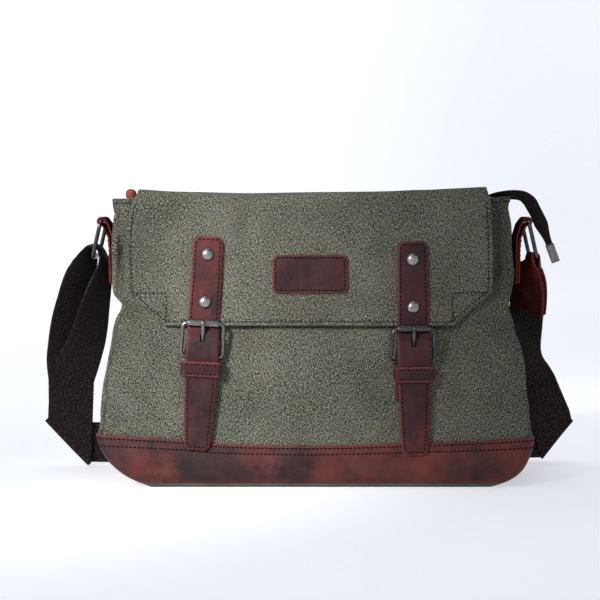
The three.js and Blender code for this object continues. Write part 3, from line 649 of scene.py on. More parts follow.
# ---- Canvas body ----
def creases(x, z, folds):
    """Soft folds, each (from, to, width, depth) in (x, z): ridges, or valleys where depth is < 0."""
    total = 0
    for a, b, width, depth in folds:
        d = np.subtract(b, a)
        t = np.clip(((x - a[0]) * d[0] + (z - a[1]) * d[1]) / (d @ d), 0, 1)
        gap = np.hypot(x - a[0] - t * d[0], z - a[1] - t * d[1])
        total = total + depth * np.sin(math.pi * (0.08 + 0.84 * t)) * hump(gap, width)
    return total


FRONT_FOLDS = [
    ((112, 134), (130, 70), 13, -5.5), ((134, 150), (176, 90), 10, 7.0), ((150, 152), (182, 128), 7, -5.0),
    ((128, 110), (96, 76), 15, 3.0), ((164, 84), (122, 52), 9, 3.4), ((172, 98), (140, 58), 6, -3.2),
    ((-184, 80), (-146, 52), 6, -5.0), ((-180, 66), (-132, 58), 5, 3.6),
    ((-150, 84), (-120, 52), 7, -2.6), ((-176, 124), (-144, 98), 9, -4.2),
    ((-170, 138), (-134, 118), 8, 3.6), ((-166, 156), (-134, 142), 5, -4.6),
    ((30, 122), (72, 56), 20, -4.2), ((8, 118), (38, 60), 15, 2.6), ((-66, 124), (-10, 66), 24, 3.2),
    ((-62, 70), (-20, 50), 12, -3.0),
]
END_FOLDS = [
    ((-171, 244), (-162, 166), 3.6, -5.5), ((-178, 196), (-164, 216), 4.5, 3.6),
    ((-179, 232), (-163, 224), 3.5, -3.4), ((-176, 178), (-163, 186), 4, -3.0),
    ((162, 246), (158, 160), 4.0, -5.5), ((173, 188), (158, 172), 5, 3.6),
    ((172, 230), (158, 220), 4, -3.2),
]


def body_relief(points, stations):
    """How far the canvas stands out of the body's plain section."""
    x, y, z = np.moveaxis(points, -1, 0)
    cx, cy, nx, ny = np.moveaxis(stations, -1, 0)
    front, back = np.clip(-ny, 0, 1), np.clip(ny, 0, 1)
    wander = soft_noise(points * (1, 1, 0.8), 62, 3) * 2.2 + soft_noise(points, 22, 5) * 0.8
    relief = wander * (0.55 + 0.7 * (front + back) * smoothstep(np.abs(x), 60, 150))
    relief = relief + creases(x, z, FRONT_FOLDS + END_FOLDS) * front
    relief = relief + creases(-x, z, FRONT_FOLDS[:5]) * back * 0.8
    under_flap = smoothstep(z, 128, 150) * smoothstep(-np.abs(x), -168, -150)
    relief = relief - (1.6 + np.clip(relief, 0, 9)) * under_flap * front
    between_straps = front * smoothstep(-np.abs(x), -130, -112)
    relief = relief - (np.clip(relief, 0.6, 9) - 0.6) * between_straps
    relief = relief - (1.2 + np.clip(relief, 0, 9)) * smoothstep(z, 218, 230) * back
    # the gussets sink between the panels and buckle below the side tabs
    sink = 7 * smoothstep(z, 60, 105) * (1 - smoothstep(z, 128, 150)) - 3.2 * smoothstep(z, 170, 190)
    buckle = 5 * hump(z - NOTCH + 0.0016 * y * y, 6)
    relief = relief - np.abs(nx) * half_wave(y / half_depth(z)) * (sink + buckle)
    off_seam = (1 - np.abs(cx)) * 165 + (1 - np.abs(cy)) * 40
    held = smoothstep(z, BAND_TOP - 12, BAND_TOP + 10)
    return np.maximum(relief, -2.4 - 0.6 * off_seam) * held


def body_surface(stations, z, out):
    """The canvas's outer face, with its folds."""
    plain = body_point(stations, z)
    moved = pushed_out(plain, stations, body_relief(plain, stations) + out)
    dip = 4.5 * half_wave(plain[..., 0] / 150) ** 2
    dip = dip + 8 * np.clip(-stations[..., 2], 0, 1) * hump(plain[..., 1], 10)
    moved[..., 2] += (1.8 * smoothstep(plain[..., 0], 146, 164) - dip) * smoothstep(z, 225, HEIGHT)
    return moved


def canvas_body():
    thickness = 2.4
    rim = np.array([239, 241.5, 243.5, 245, 246, 246.6, HEIGHT])
    hem = np.linspace(132.4, 140, 8)
    heights = np.concatenate([np.linspace(20, 130, 30), hem, np.linspace(143, 236, 27), rim])
    body_stations = perimeter(92, 27)
    stations, grid_heights = station_grid(body_stations, heights)
    grid = body_surface(stations, grid_heights, -thickness / 2)
    x, _, z = np.moveaxis(grid, -1, 0)
    # painted shade: the canvas is darkened in a band under the flap's hem and high up at the right end,
    # carried to the canvas material by the edge attribute
    under_hem_shade = smoothstep(z, HEM_HEIGHT - 3.2, HEM_HEIGHT - 1)
    under_hem_shade = under_hem_shade * smoothstep(-z, -HEM_HEIGHT - 14, -HEM_HEIGHT)
    under_hem_shade = 0.85 * under_hem_shade * smoothstep(-np.abs(x), -126, -110)
    painted_canvas_shade = np.maximum(under_hem_shade, 0.8 * smoothstep(x, 140, 152) * smoothstep(z, 146, 180))
    edge = 0.9 * painted_canvas_shade * np.clip(-stations[..., 3], 0, 1)
    body = sheet_mesh("canvas_body", grid, rounding(HEIGHT - heights, thickness), CANVAS,
                      wrap=True, uv_turn=True, edge=edge)
    finish_piece(body, "bag", ("front_panel", "back_panel", "left_gusset", "right_gusset"))
    hem_loop = body_surface(body_stations, np.full(len(body_stations), HEIGHT - 4.2), 0.1)
    sew("body_hem_stitches", [(hem_loop, facing(body_stations))], CANVAS_THREAD, 3.4, 2.1, 0.75,
        "bag")


canvas_body()

# ---- Base: panel, piping and leather band ----
BAND_FOOT = 3.4
BAND_LINE = [(-187, 45.5), (-117, 41.0), (-84, 37.6), (0, 35.6), (85, 38), (150, 40.5), (187, 43)]


def band_surface(stations, share, out):
    """The leather band's face. share runs from 0 at its foot to 1 at its top edge."""
    line_x, line_z = spline(BAND_LINE, 80).T
    height = BAND_FOOT + share * (BAND_TOP - BAND_FOOT)
    for _ in range(2):
        top = np.interp(body_point(stations, height)[..., 0], line_x, line_z)
        height = BAND_FOOT + share * (top - BAND_FOOT)
    plain = body_point(stations, height)
    swell = soft_noise(plain, 48, 11) * 1.1 + soft_noise(plain, 17, 12) * 0.35 + 0.9
    tuck = -1.6 * (1 - smoothstep(share, 0, 0.16))
    return pushed_out(plain, stations, swell * np.sin(share * math.pi) + tuck + out)


def base_band():
    radius, across, thickness = 1.1, 42.0, 1.8
    stations = perimeter(120, 30)
    grid, shares = station_grid(stations, edged(1.0, radius / across, 16))
    distance = np.minimum(shares, 1 - shares) * across
    band = sheet_mesh("base_band", band_surface(grid, shares, 1.3), rounding(distance, thickness, radius),
                      BASE_LEATHER, wrap=True, edge=np.exp(-distance / 0.9))
    nodes = tuple(f"base_band_{side}" for side in ("front", "back", "left", "right"))
    finish_piece(band, "bag", nodes)
    closed = np.vstack([stations, stations[:1]])
    lines = [
        (band_surface(closed, np.full(len(closed), 1 - inset / across), 1.3 + thickness / 2), facing(closed))
        for inset in (3.2, 9.6)
    ]
    sew("base_band_stitches", lines, THREAD, 3.6, 2.4, 0.74, "bag")


def base_line(count, lift):
    """The base's outline from the left corner's top, along the floor, to the right corner's top."""
    left, right = (profile[profile[:, 1] <= BAND_TOP + 0.01] for profile in END_PROFILES)
    line = np.vstack([left[::-1] * (-1, 1), right])
    normal = np.stack([np.gradient(line[:, 1]), -np.gradient(line[:, 0])], 1)
    return resample(line - unit(normal) * lift, count).T


def base_panel():
    x, z = base_line(120, 1.0)
    share = np.linspace(-1, 1, 25)
    share = np.sign(share) * np.abs(share) ** 0.8
    grid = xyz(x[:, None], (half_depth(z) - 3.0)[:, None] * share, z[:, None])
    finish_piece(sheet_mesh("base_panel", grid, 2.0, PAINTED_SHADE_PIPING), "bag", ("bottom_panel",))
    x, z = base_line(170, 2.0)
    for name, side in (("front", -1), ("back", 1)):
        path = xyz(x, side * (half_depth(z) - 1.3), z)
        finish_piece(tube(f"piping_{name}", path, 1.9, PAINTED_SHADE_PIPING, sides=10), "bag")


base_band()
base_panel()


# ---- Lining ----
def flat_grid(x, y, z=0.0):
    x, y = np.meshgrid(x, y, indexing="ij")
    return xyz(x, y, z)


def lining():
    low, high = corners("lining")
    stations, z = station_grid(perimeter(80, 20), np.linspace(low[2] + 0.8, high[2], 26))
    half_x = np.interp(z, [low[2], high[2]], [134, 163])
    points = rounded_section(stations, 0, half_x, half_depth(z) - 4.3, z)
    pressed = np.minimum(body_relief(points, stations) + 1.6, 0)
    points = pushed_out(points, stations, soft_noise(points, 40, 21) * 0.7 - 0.8 + pressed)
    walls = sheet_mesh("lining_walls", points, 0.8, LINING, wrap=True, uv_turn=True)
    finish_piece(walls, "bag", ("lining",))
    share = np.linspace(-1, 1, 40)
    floor = flat_grid(share * 131, share[::3] * 42)
    floor[..., 2] = low[2] + 1.7 + 0.18 * soft_noise(floor, 45, 22)
    finish_piece(sheet_mesh("lining_floor", floor, 0.8, LINING), "bag")


lining()

# ---- Flap: two cloths that meet along the middle of the bag's top ----
FLAP_THICKNESS = 2.4
FLAP_Z = FLAP_TOP - FLAP_THICKNESS / 2  # of its middle surface on top
FLAP_HEM = 138
SEAM_FOOT = 228
# (height up the front, x) down each side of the flap
FLAP_LEFT = [(252, -152.4), (240, -157.6), (225, -160), (205, -161), (188, -161), (167, -160.4)]
FLAP_RIGHT = [(252, 148), (240, 150.6), (225, 151.6), (212, 152.4), (188, 152.4), (167.5, 152)]
CHAMFER_LEFT, CHAMFER_RIGHT = -128.5, 118.5  # where the hem ends
CHAMFER_REACH = 31.5  # from there out to the flap's side
FLAP_EDGE = 1.5  # the radius of its rounded edges
BACK_HALF = 144.5  # half the width at the seam on the back
# (x, how far the flap's top edge lies above its plain level)
FLAP_CREST = [(-149, 0.2), (-125, -1.0), (-99, -2.6), (-64, -5.4), (-38, -4.6), (-13, -3.0),
              (30, -1.6), (73, -0.4), (112, 0.8), (148, 2.9)]
STITCH_INSET = 3.6
GROOVE = np.array([1.8, 2.6, 3.2, 3.8, 4.4, 5.0, 5.8, 7.4])  # places near an edge, round its stitches
FLAP_FOLDS = [
    ((-150, 160), (-112, 150), 6, 2.6), ((-152, 200), (-120, 168), 12, -2.4),
    ((134, 150), (100, 172), 9, -2.8), ((148, 176), (112, 216), 13, 3.0),
    ((120, 240), (150, 214), 9, -2.4), ((-142, 240), (-118, 205), 10, -2.2),
    ((-62, 246), (-48, 200), 15, -2.4), ((-36, 246), (-30, 206), 10, 1.6), ((40, 242), (66, 160), 18, 1.6),
    ((30, 236), (44, 212), 9, -1.6), ((62, 168), (40, 150), 10, -1.2),
]
BACK = OUT * (1, -1, 1)


def fold_profile(side, out, foot, radius):
    """(y, z) points from the middle of the top over a rounded edge and down to foot."""
    edge_up = (FLAP_Z - out * math.sin(TILT)) / math.cos(TILT)
    corner, last = (on_front(0, out, up)[1:] * (-side, 1) for up in (edge_up, foot))
    first = np.array([0, FLAP_Z])
    a, b = unit(first - corner), unit(last - corner)
    reach = radius * math.tan(math.acos(-a @ b) / 2)
    t = np.linspace(0, 1, 25)[:, None]
    start, end = corner + a * reach, corner + b * reach
    fold = (1 - t) ** 3 * start + t**3 * end
    fold = fold + 3 * (1 - t) ** 2 * t * (start - a * reach * 0.6)
    fold = fold + 3 * (1 - t) * t**2 * (end - b * reach * 0.6)
    return np.vstack([first, fold, last])


FRONT_PROFILE = fold_profile(-1, 1.8, FLAP_HEM, 7)
BACK_PROFILE = fold_profile(1, 1.5, SEAM_FOOT, 6)
FRONT_LENGTH, BACK_LENGTH = lengths(FRONT_PROFILE)[-1], lengths(BACK_PROFILE)[-1]


def crest(x):
    line_x, line_z = spline(FLAP_CREST, 90).T
    return np.interp(x, line_x, line_z)


def run_to_up(run):
    """The height up the front of a place on the hanging part, or the other way round."""
    return FLAP_HEM + FRONT_LENGTH - run


def flap_sides(up):
    """The flap's left and right edges at a height up the front."""
    edges = []
    for line, hem in ((FLAP_LEFT, CHAMFER_LEFT), (FLAP_RIGHT, CHAMFER_RIGHT)):
        line_up, line_x = spline(line, 60)[::-1].T
        slope = (line_x[0] - hem) / (line_up[0] - FLAP_HEM)
        x = np.interp(up, line_up, line_x)
        edges.append(np.where(up < line_up[0], hem + (up - FLAP_HEM) * slope, x))
    return edges


def outline_gap(x, up):
    """The distance from the flap's cut outline, measured across it."""
    left, right = flap_sides(up)
    corner = FLAP_LEFT[-1][0]
    slope = math.hypot(1, CHAMFER_REACH / (corner - FLAP_HEM))
    across = np.minimum(x - left, right - x) / np.where(up < corner, slope, 1)
    return np.minimum(across, up - FLAP_HEM)


def hung_relief(x, up):
    """How far the hanging cloth waves out of its plane."""
    points = xyz(x, 0, up)
    free = soft_noise(points, 64, 31) * 1.8 + soft_noise(points, 24, 32) * 0.8
    free = free + creases(x, up, FLAP_FOLDS)
    rim = outline_gap(x, up)
    held = 0
    for strap_x, half in ((-95, 19), (84, 19), (-4, 40)):
        held = np.maximum(held, smoothstep(-np.abs(x - strap_x), -half - 14, -half))
    held = held * smoothstep(up, 128, 140)
    return free * (1 - held) - held * 0.3 + 2.0 * hump(rim, 11) - 0.9 * hump(rim - STITCH_INSET, 1.0)


def flap_front_point(x, run, lift=0.0):
    x, run = np.broadcast_arrays(x, run)
    y, z = track(FRONT_PROFILE)(run)
    up = run_to_up(run)
    hung = 1 - smoothstep(up, 236, 252)
    z = z + crest(x) * smoothstep(up, 205, 250) + lift * (1 - hung)
    z = z + soft_noise(xyz(x, y, 0), 45, 33) * 0.8 * (1 - hung) * smoothstep(-y, 0, 12)
    return xyz(x, y, z) + OUT * ((hung_relief(x, up) + lift) * hung)[..., None]


def flap_back_point(x, run, lift=0.0):
    x, run = np.broadcast_arrays(x, run)
    y, z = track(BACK_PROFILE)(run)
    up = SEAM_FOOT + BACK_LENGTH - run
    hung = 1 - smoothstep(up, 238, 252)
    z = z + crest(x) * smoothstep(up, 230, 254) * (1 - 0.75 * smoothstep(y, 0, 34)) + lift * (1 - hung)
    return xyz(x, y, z) + BACK * (lift * hung)[..., None]


def flap_front():
    runs = np.unique(np.append(edged(FRONT_LENGTH, FLAP_EDGE, 86, start=1), FRONT_LENGTH - GROOVE))
    left, right = flap_sides(run_to_up(runs))
    share = across_columns(1.0, FLAP_EDGE / 155, 96)
    share = np.unique(np.concatenate([share, GROOVE / 156 - 1, 1 - GROOVE / 156]))
    x = (left + right)[:, None] / 2 + (right - left)[:, None] / 2 * share
    run = np.repeat(runs[:, None], x.shape[1], 1)
    up = run_to_up(run)
    gap = np.maximum(outline_gap(x, up), 0)
    gap[:, [0, -1]] = 0
    hung = 1 - smoothstep(up, 236, 250)
    # painted shade in the stitch groove round the flap, and darker canvas along its cut edge, passed on as
    # the edge attribute
    seam = hung * (0.5 * hump(gap - STITCH_INSET, 1.0) + 0.5 * np.exp(-gap / 0.6))
    thickness = rounding(gap, FLAP_THICKNESS, FLAP_EDGE)
    front = sheet_mesh("flap_front_cloth", flap_front_point(x, run), thickness, CANVAS, edge=seam)
    finish_piece(front, ("flap_top", "flap_front"), ("flap_front_panel",),
                 bend=((0, -24, 258), (0, -38, 244)))


def flap_back():
    runs = edged(BACK_LENGTH, 1.2, 26, start=1)
    ease = smoothstep(runs, 0, BACK_LENGTH)[:, None]
    left, right = flap_sides(run_to_up(0.0))
    left = left + (-BACK_HALF - left) * ease
    right = right + (BACK_HALF - right) * ease
    x = (left + right) / 2 + (right - left) / 2 * across_columns(1.0, FLAP_EDGE / 146, 90)
    run = np.repeat(runs[:, None], x.shape[1], 1)
    gap = np.maximum(np.minimum(np.minimum(x - left, right - x), BACK_LENGTH - run), 0)
    gap[:, [0, -1]] = 0
    thickness = rounding(gap, FLAP_THICKNESS, FLAP_EDGE)
    back = sheet_mesh("flap_back_cloth", flap_back_point(x, run), thickness, CANVAS)
    finish_piece(back, ("bag", "flap_top"), ("flap_seam_strip", "flap_top_panel"),
                 bend=((0, 36, 244), (0, 24, 256)))


def flap_threads():
    """Rows of stitches: one inside the edge, a square at each cut corner, and two on the seam."""
    ups = np.linspace(244, 168, 40)
    left, right = flap_sides(ups)
    cut, foot = STITCH_INSET * 0.39, FLAP_HEM + STITCH_INSET
    path = [(x + STITCH_INSET, up) for x, up in zip(left, ups)]
    path += [(CHAMFER_LEFT + cut, foot), (CHAMFER_RIGHT - cut, foot)]
    path += [(x - STITCH_INSET, up) for x, up in zip(right[::-1], ups[::-1])]
    squares = [[(-157, 166), (-127, 166), (-127, 141.5)], [(148.5, 166.5), (118, 166.5), (118, 141.5)]]
    lines = []
    for points in [path] + squares:
        points = np.array(points, float)
        x, up = resample(points, int(lengths(points)[-1] / 1.2)).T
        lines.append((flap_front_point(x, run_to_up(up), FLAP_THICKNESS / 2), OUT))
    sew("flap_stitches", lines, CANVAS_THREAD, 3.4, 2.1, 0.82, "flap_front")
    x = np.linspace(-141, 141, 200)
    seam = [(flap_back_point(x, BACK_LENGTH - inset, 1.2), BACK) for inset in (3.5, 12)]
    sew("flap_seam_stitches", seam, CANVAS_THREAD, 3.4, 2.1, 0.82, "bag")


flap_front()
flap_back()
flap_threads()


# ---- Name patch, left blank ----
def name_patch():
    half_x, half_z, margin = 32.3, 16.5, 2.6

    def place(run, side):
        out = 4.0 + 0.3 * soft_noise(xyz(side, run, 0), 16, 41)
        at = (side - 4)[..., None] * RIGHT + (run + 182.5 - half_z)[..., None] * UP
        return on_front(0, 0, 0) + at + out[..., None] * OUT

    patch = leather_strip("name_patch_leather", place, 2 * half_z, lambda r: half_x, 1.6, LEATHER,
                          corner=5, inner=14, columns=26)
    finish_piece(patch, "flap_front", ("name_patch",))
    loop = rounded_loop(half_x - margin, margin, 2 * half_z - margin, 3.6, 160)
    side, run = np.vstack([loop, loop[:1]]).T
    sew("patch_thread", [(placed_line(place, run, side, 0.8)[0], OUT)], THREAD, 3.6, 2.6, 0.72,
        "flap_front")


name_patch()

# ---- The two buckled straps ----
# x and height of the heel bar on the front, and the lean from upright
BUCKLES = {"left": (-96.5, 112, 3.1), "right": (84.5, 107.4, -0.6)}
# (place up from the heel bar, out of the front) down each strap, and (place, half width) up it
STRAP_LINE = [(103, 4.6), (34, 4.6), (27.5, 4.9), (22, 7.0), (16, 9.6), (8, 10.9), (0, 10.7),
              (-6, 9.7), (-12, 8.4), (-21, 7.6), (-36, 7.3), (-50, 6.2), (-80, 4.8)]
STRAP_WIDTHS = [(-80, 7.6), (-76.6, 11.0), (-60, 12.0), (-20, 13.7), (20, 13.8), (98.6, 13.0),
                (103, 8.8)]
RIVETS = {"upper": 87.5, "lower": 46.7}
HEEL_OUT, ROLLER_OUT, ROLLER_UP = 5.6, 9.0, 28.4
FRAME_HALF = 17.4
FRAME_BEND = {"left": 0.6, "right": 2.8}  # how far each frame's lower left corner is pulled out
ANCHOR_DRIFT = {"left": -1.0, "right": -4.6}  # how far each anchor tab's foot lies off the strap
# the two buckles are of one metal: the left gets the bright steel colours and the right the dark gunmetal
# ones, painted light from the key on the left
LIT_LEFT_SHADED_RIGHT_METAL = {"left": STEEL, "right": GUNMETAL}
RIVET_PROFILE = [(0, -2.4), (1.6, -2.4), (1.6, 0), (5.0, 0), (5.3, 0.25), (5.25, 0.7), (4.9, 1.35),
                 (4.3, 2.0), (3.5, 2.55), (2.4, 2.95), (1.2, 3.15), (0, 3.2)]
STUD_PROFILE = [(0, -1.2), (2.0, -1.2), (2.0, 0), (6.3, 0), (6.6, 0.25), (6.6, 0.5), (6.2, 0.7),
                (0, 0.7)]
SOCKET_PROFILE = [(0, -2.2), (5.6, -2.2), (5.8, -2.0), (5.8, 0.2), (7.4, 0.2), (7.6, 0.45),
                  (7.3, 0.9), (3.0, 0.9), (2.7, 0.7), (2.5, -1.6), (0, -1.6)]


def strap_frame(side):
    """A function from (x, out, up) beside a buckle's heel bar to a point."""
    x0, heel, lean = BUCKLES[side]
    c, s = math.cos(math.radians(lean)), math.sin(math.radians(lean))
    axes = np.stack([RIGHT * c - UP * s, OUT, RIGHT * s + UP * c])
    return lambda x, out, z: on_front(x0, 0, heel) + xyz(x, out, z) @ axes


def in_plane(at, angle):
    """The same in a plane through the heel bar that leans out from the face by an angle."""
    c, s = math.cos(angle), math.sin(angle)
    return lambda x, out, z: at(x, HEEL_OUT + out * c + z * s, z * c - out * s)


def punch(obj, at, half_x, out_range, up_range):
    """Cuts a slot through a piece."""
    block = [at(x, out, up) for up in up_range for out in out_range for x in (-half_x, half_x)]
    faces = [(0, 1, 3, 2), (4, 6, 7, 5), (0, 4, 5, 1), (2, 3, 7, 6), (0, 2, 6, 4), (1, 5, 7, 3)]
    tool = mesh_object("slot_tool", block, faces, obj.data.materials[0], smooth=False)
    cut = obj.modifiers.new("slot", "BOOLEAN")
    cut.operation = "DIFFERENCE"
    cut.object = tool
    cut.solver = "EXACT"
    bpy.context.view_layer.update()
    evaluated = obj.evaluated_get(bpy.context.evaluated_depsgraph_get())
    mesh = bpy.data.meshes.new_from_object(evaluated)
    obj.modifiers.clear()
    obj.data = mesh
    mesh.set_sharp_from_angle(angle=math.radians(50))
    bpy.data.objects.remove(tool)


def strap_leather(side, at):
    line = spline(STRAP_LINE[::-1], 160)
    run_of = lengths(line)
    seed = {"left": 51, "right": 57}[side]

    def place(run, across):
        z, out = track(line)(run)
        x = across + 0.35 * soft_noise(xyz(z, 0, 0), 30, seed)
        grain = soft_noise(xyz(across, z, 0), 13, seed + 1)
        free = smoothstep(-z, 18, 34)
        curl = 0.012 * across**2 * free * np.sin((z + 18) / 62 * math.pi)
        return at(x, out + 0.16 * grain + 0.35 * free * grain + 0.35 * curl, z)

    def half_width(run):
        return np.interp(np.interp(run, run_of, line[:, 0]), *np.transpose(STRAP_WIDTHS))

    strap = leather_strip(f"{side}_strap_leather", place, run_of[-1], half_width, 2.6, LEATHER,
                          corner=1.0, inner=110, columns=13)
    punch(strap, at, 2.1, (-2, 20), (13, 22))
    finish_piece(strap, "flap_front", (f"{side}_strap",))

    lines = []
    run = np.linspace(4.0, run_of[-1] - 4.0, 260)
    z = np.interp(run, run_of, line[:, 0])
    for sign in (-1, 1):
        points, normals = placed_line(place, run, sign * (half_width(run) - 2.7), 1.3)
        lines += [(points[keep], normals[keep]) for keep in (z < -18, z > 31)]
    for z, half in ((100.2, 9.6), (-77.0, 7.4)):
        row = placed_line(place, np.interp(z, line[:, 0], run_of), np.linspace(-half, half, 20), 1.3)
        lines.append((row[0], OUT))
    sew(f"{side}_strap_thread", lines, THREAD, 3.7, 2.4, 0.72, "flap_front")


def dome(name, profile, material, turns, at, out, z, body, node):
    """A turned piece that points out of the front face."""
    origin = at(0, out, z)
    right, up = at(1, out, z) - origin, at(0, out, z + 1) - origin
    basis = np.stack([right, up, np.cross(right, up)])
    piece = moved_verts(lathe(name, profile, material, turns), lambda verts: origin + verts @ basis)
    finish_piece(piece, body, (node,))


def buckle(side, at):
    reach = math.hypot(ROLLER_UP, ROLLER_OUT - HEEL_OUT)
    framed = in_plane(at, math.atan((ROLLER_OUT - HEEL_OUT) / ROLLER_UP))
    x, z = rounded_loop(FRAME_HALF, 0, reach, 3.6, 120).T
    bow = 0.9 * np.sin(np.clip(z / reach, 0, 1) * math.pi)
    bent = FRAME_BEND[side] * np.clip(1 - z / reach, 0, 1) * np.clip(-x / FRAME_HALF, 0, 1)
    wire = tube(f"{side}_buckle_wire", framed(x - bent, bow, z), 1.6, LIT_LEFT_SHADED_RIGHT_METAL[side], closed=True,
                sides=16, hint=OUT)
    finish_piece(wire, f"{side}_buckle", (f"{side}_buckle_frame",))

    x = np.array([-13.5, -13.5, -13.1, -12, 12, 13.1, 13.5, 13.5])
    radii = [1.75, 2.4, 2.8, 2.9, 2.9, 2.8, 2.4, 1.75]
    roller = tube(f"{side}_roller_tube", framed(x, 0, reach), radii, LIT_LEFT_SHADED_RIGHT_METAL[side], sides=24, hint=OUT)
    finish_piece(roller, f"{side}_roller", (f"{side}_buckle_roller",))

    rest = ROLLER_OUT + 3.9
    leaning = in_plane(at, math.atan((rest - HEEL_OUT) / ROLLER_UP))
    z = np.array([1.5, 3, 6, 14, 20, 26, 29.6, 31.0, 31.8])
    lift = np.array([0.6, 0.3, 0, -0.9, -0.4, 0.5, 0.4, 0.1, -0.3])
    radii = [1.5, 1.5, 1.5, 1.5, 1.6, 1.8, 1.7, 1.3, 0.6]
    tongue = tube("tongue", leaning(0, lift, z), radii, LIT_LEFT_SHADED_RIGHT_METAL[side], hint=OUT)
    eye_x = np.array([-1.8, -1.8, 1.8, 1.8])
    eye = tube("eye", at(eye_x, HEEL_OUT, 0), [1.9, 2.9, 2.9, 1.9], LIT_LEFT_SHADED_RIGHT_METAL[side], hint=OUT)
    prong = join(f"{side}_prong_pin", [tongue, eye])
    finish_piece(prong, f"{side}_prong", (f"{side}_buckle_prong",))


def keeper(side, at):
    half, high_out, height, top = 16.55, 12.2, 13.0, -4.2
    loop = rounded_loop(half, 1.5, high_out, 2.2, 96)
    down = edged(height, 0.95, 7)
    x, out, z = np.broadcast_arrays(loop[:, :1], loop[:, 1:], top - down)
    sag = np.where(out > 6, 0.10 * down, 0)
    wear = 0.25 * soft_noise(xyz(x, z, out), 9, 61)
    face = (out > 8) * np.clip(1 - np.abs(x) / half, 0, 1)
    points = at(x * (1 + 0.012 * wear), out - sag + 0.5 * face + wear * 0.6, z)
    distance = np.minimum(down, height - down)
    band = sheet_mesh(f"{side}_keeper_leather", points, rounding(distance, 1.7, 0.95), LEATHER,
                      wrap=True, edge=np.exp(-distance / 1.1))
    finish_piece(band, "flap_front", (f"{side}_keeper",))
    x = np.linspace(-13.6, 13.6, 60)
    out = high_out + 0.85 + 0.5 * (1 - np.abs(x) / half)
    lines = [(at(x, out - 0.1 * inset, top - inset), OUT) for inset in (2.6, height - 2.6)]
    sew(f"{side}_keeper_thread", lines, THREAD, 3.5, 2.3, 0.7, "flap_front")


def arc(x, z, radius, start, end, count):
    """(x, z) points round a bar."""
    turns = np.linspace(start, end, count)
    return [(x + radius * math.cos(t), z + radius * math.sin(t)) for t in turns]


def anchor_tab(side, at):
    wrap = 2.7
    line = [(-33.0, 3.35), (-20, 3.35), (-8, 3.1), (-3, HEEL_OUT - wrap)]
    line += arc(0, HEEL_OUT, wrap, -math.pi / 2, math.pi / 2, 13)
    line += [(-3, 7.4), (-8, 5.6), (-20, 5.1), (-32.4, 5.1)]
    line = resample(np.array(line), 200)

    def place(run, across):
        z, out = track(line)(run)
        return at(across + ANCHOR_DRIFT[side] * smoothstep(-z, 3, 24), out, z)

    tab = leather_strip(f"{side}_anchor_leather", place, lengths(line)[-1], lambda r: 12.5, 1.5,
                        LEATHER, corner=2.5, inner=90, columns=7)
    punch(tab, at, 2.7, (-4, 14), (-4.5, 6))
    finish_piece(tab, "flap_front", (f"{side}_anchor_tab",))


for side in BUCKLES:
    at = strap_frame(side)
    strap_leather(side, at)
    for spot, z in RIVETS.items():
        dome(f"{side}_rivet_dome_{spot}", RIVET_PROFILE, NICKEL, 40, at, 6.05, z, "flap_front",
             f"{side}_rivet_{spot}")
    buckle(side, at)
    keeper(side, at)
    anchor_tab(side, at)
    dome(f"{side}_snap_stud_disc", STUD_PROFILE, GUNMETAL, 36, at, 1.5, -25, "flap_front",
         f"{side}_snap_stud")
    dome(f"{side}_snap_socket_disc", SOCKET_PROFILE, GUNMETAL, 36, at, 0.3, -25, "bag",
         f"{side}_snap_socket")

# ---- Side tabs and rings ----
RING_X, RING_Z, RING_DROP, RING_HALF, RING_LEAN = 185.5, 227, 31.5, 22, math.radians(13)
TAB_FOOT, TAB_HALF = 172, 16
RING_FOOT = (RING_X + RING_DROP * math.sin(RING_LEAN), RING_Z - RING_DROP * math.cos(RING_LEAN))


def side_hardware(side, sign):
    line = [(176.0, TAB_FOOT), (176.0, 200), (176.4, 214), (179.6, 224)]
    line += arc(RING_X, RING_Z, 3.3, math.pi * 0.86, -math.pi * 0.62, 22)
    line += [(179.4, 213), (178.4, 203), (178.3, TAB_FOOT + 0.6)]
    line = resample(np.array(line), 260)

    def place(run, across):
        x, z = track(line)(run)
        soft = 0.25 * soft_noise(xyz(x, sign * across, z), 14, 71)
        return xyz(sign * (x + soft), sign * across, z)

    def half_width(run):
        return TAB_HALF - 0.5 * smoothstep(track(line)(run)[1], 205, 222)

    tab = leather_strip(f"{side}_tab_leather", place, lengths(line)[-1], half_width, 2.0, LIT_TAB_LEATHER,
                        corner=2.0, inner=120, columns=9)
    finish_piece(tab, "bag", (f"{side}_side_tab",))
    inside = TAB_HALF - 2.8
    z = np.linspace(TAB_FOOT + 3, 212, 60)
    x = np.interp(z, [TAB_FOOT, 203, 213], [179.35, 179.45, 180.5])
    y = np.linspace(-inside, inside, 30)
    rows = [xyz(sign * x, -inside, z), xyz(sign * x, inside, z)]
    rows += [xyz(sign * 179.4, y, TAB_FOOT + 3), xyz(sign * 179.9, y, 208)]
    sew(f"{side}_tab_thread", [(row, RIGHT * sign) for row in rows], THREAD, 3.9, 2.8, 0.72,
        "bag")

    loop = rounded_loop(RING_HALF, -RING_DROP, 0, 4.5, 120)
    lean = np.array([sign * math.sin(RING_LEAN), 0, -math.cos(RING_LEAN)])
    points = (sign * RING_X, 0, RING_Z) - loop[:, 1:] * lean + loop[:, :1] * (0, 1, 0)
    ring = tube(f"{side}_ring_wire", points, 1.8, GUNMETAL, closed=True, sides=16,
                hint=np.cross(lean, (0, 1, 0)))
    finish_piece(ring, f"{side}_ring", (f"{side}_ring",))


side_hardware("left", -1)
side_hardware("right", 1)

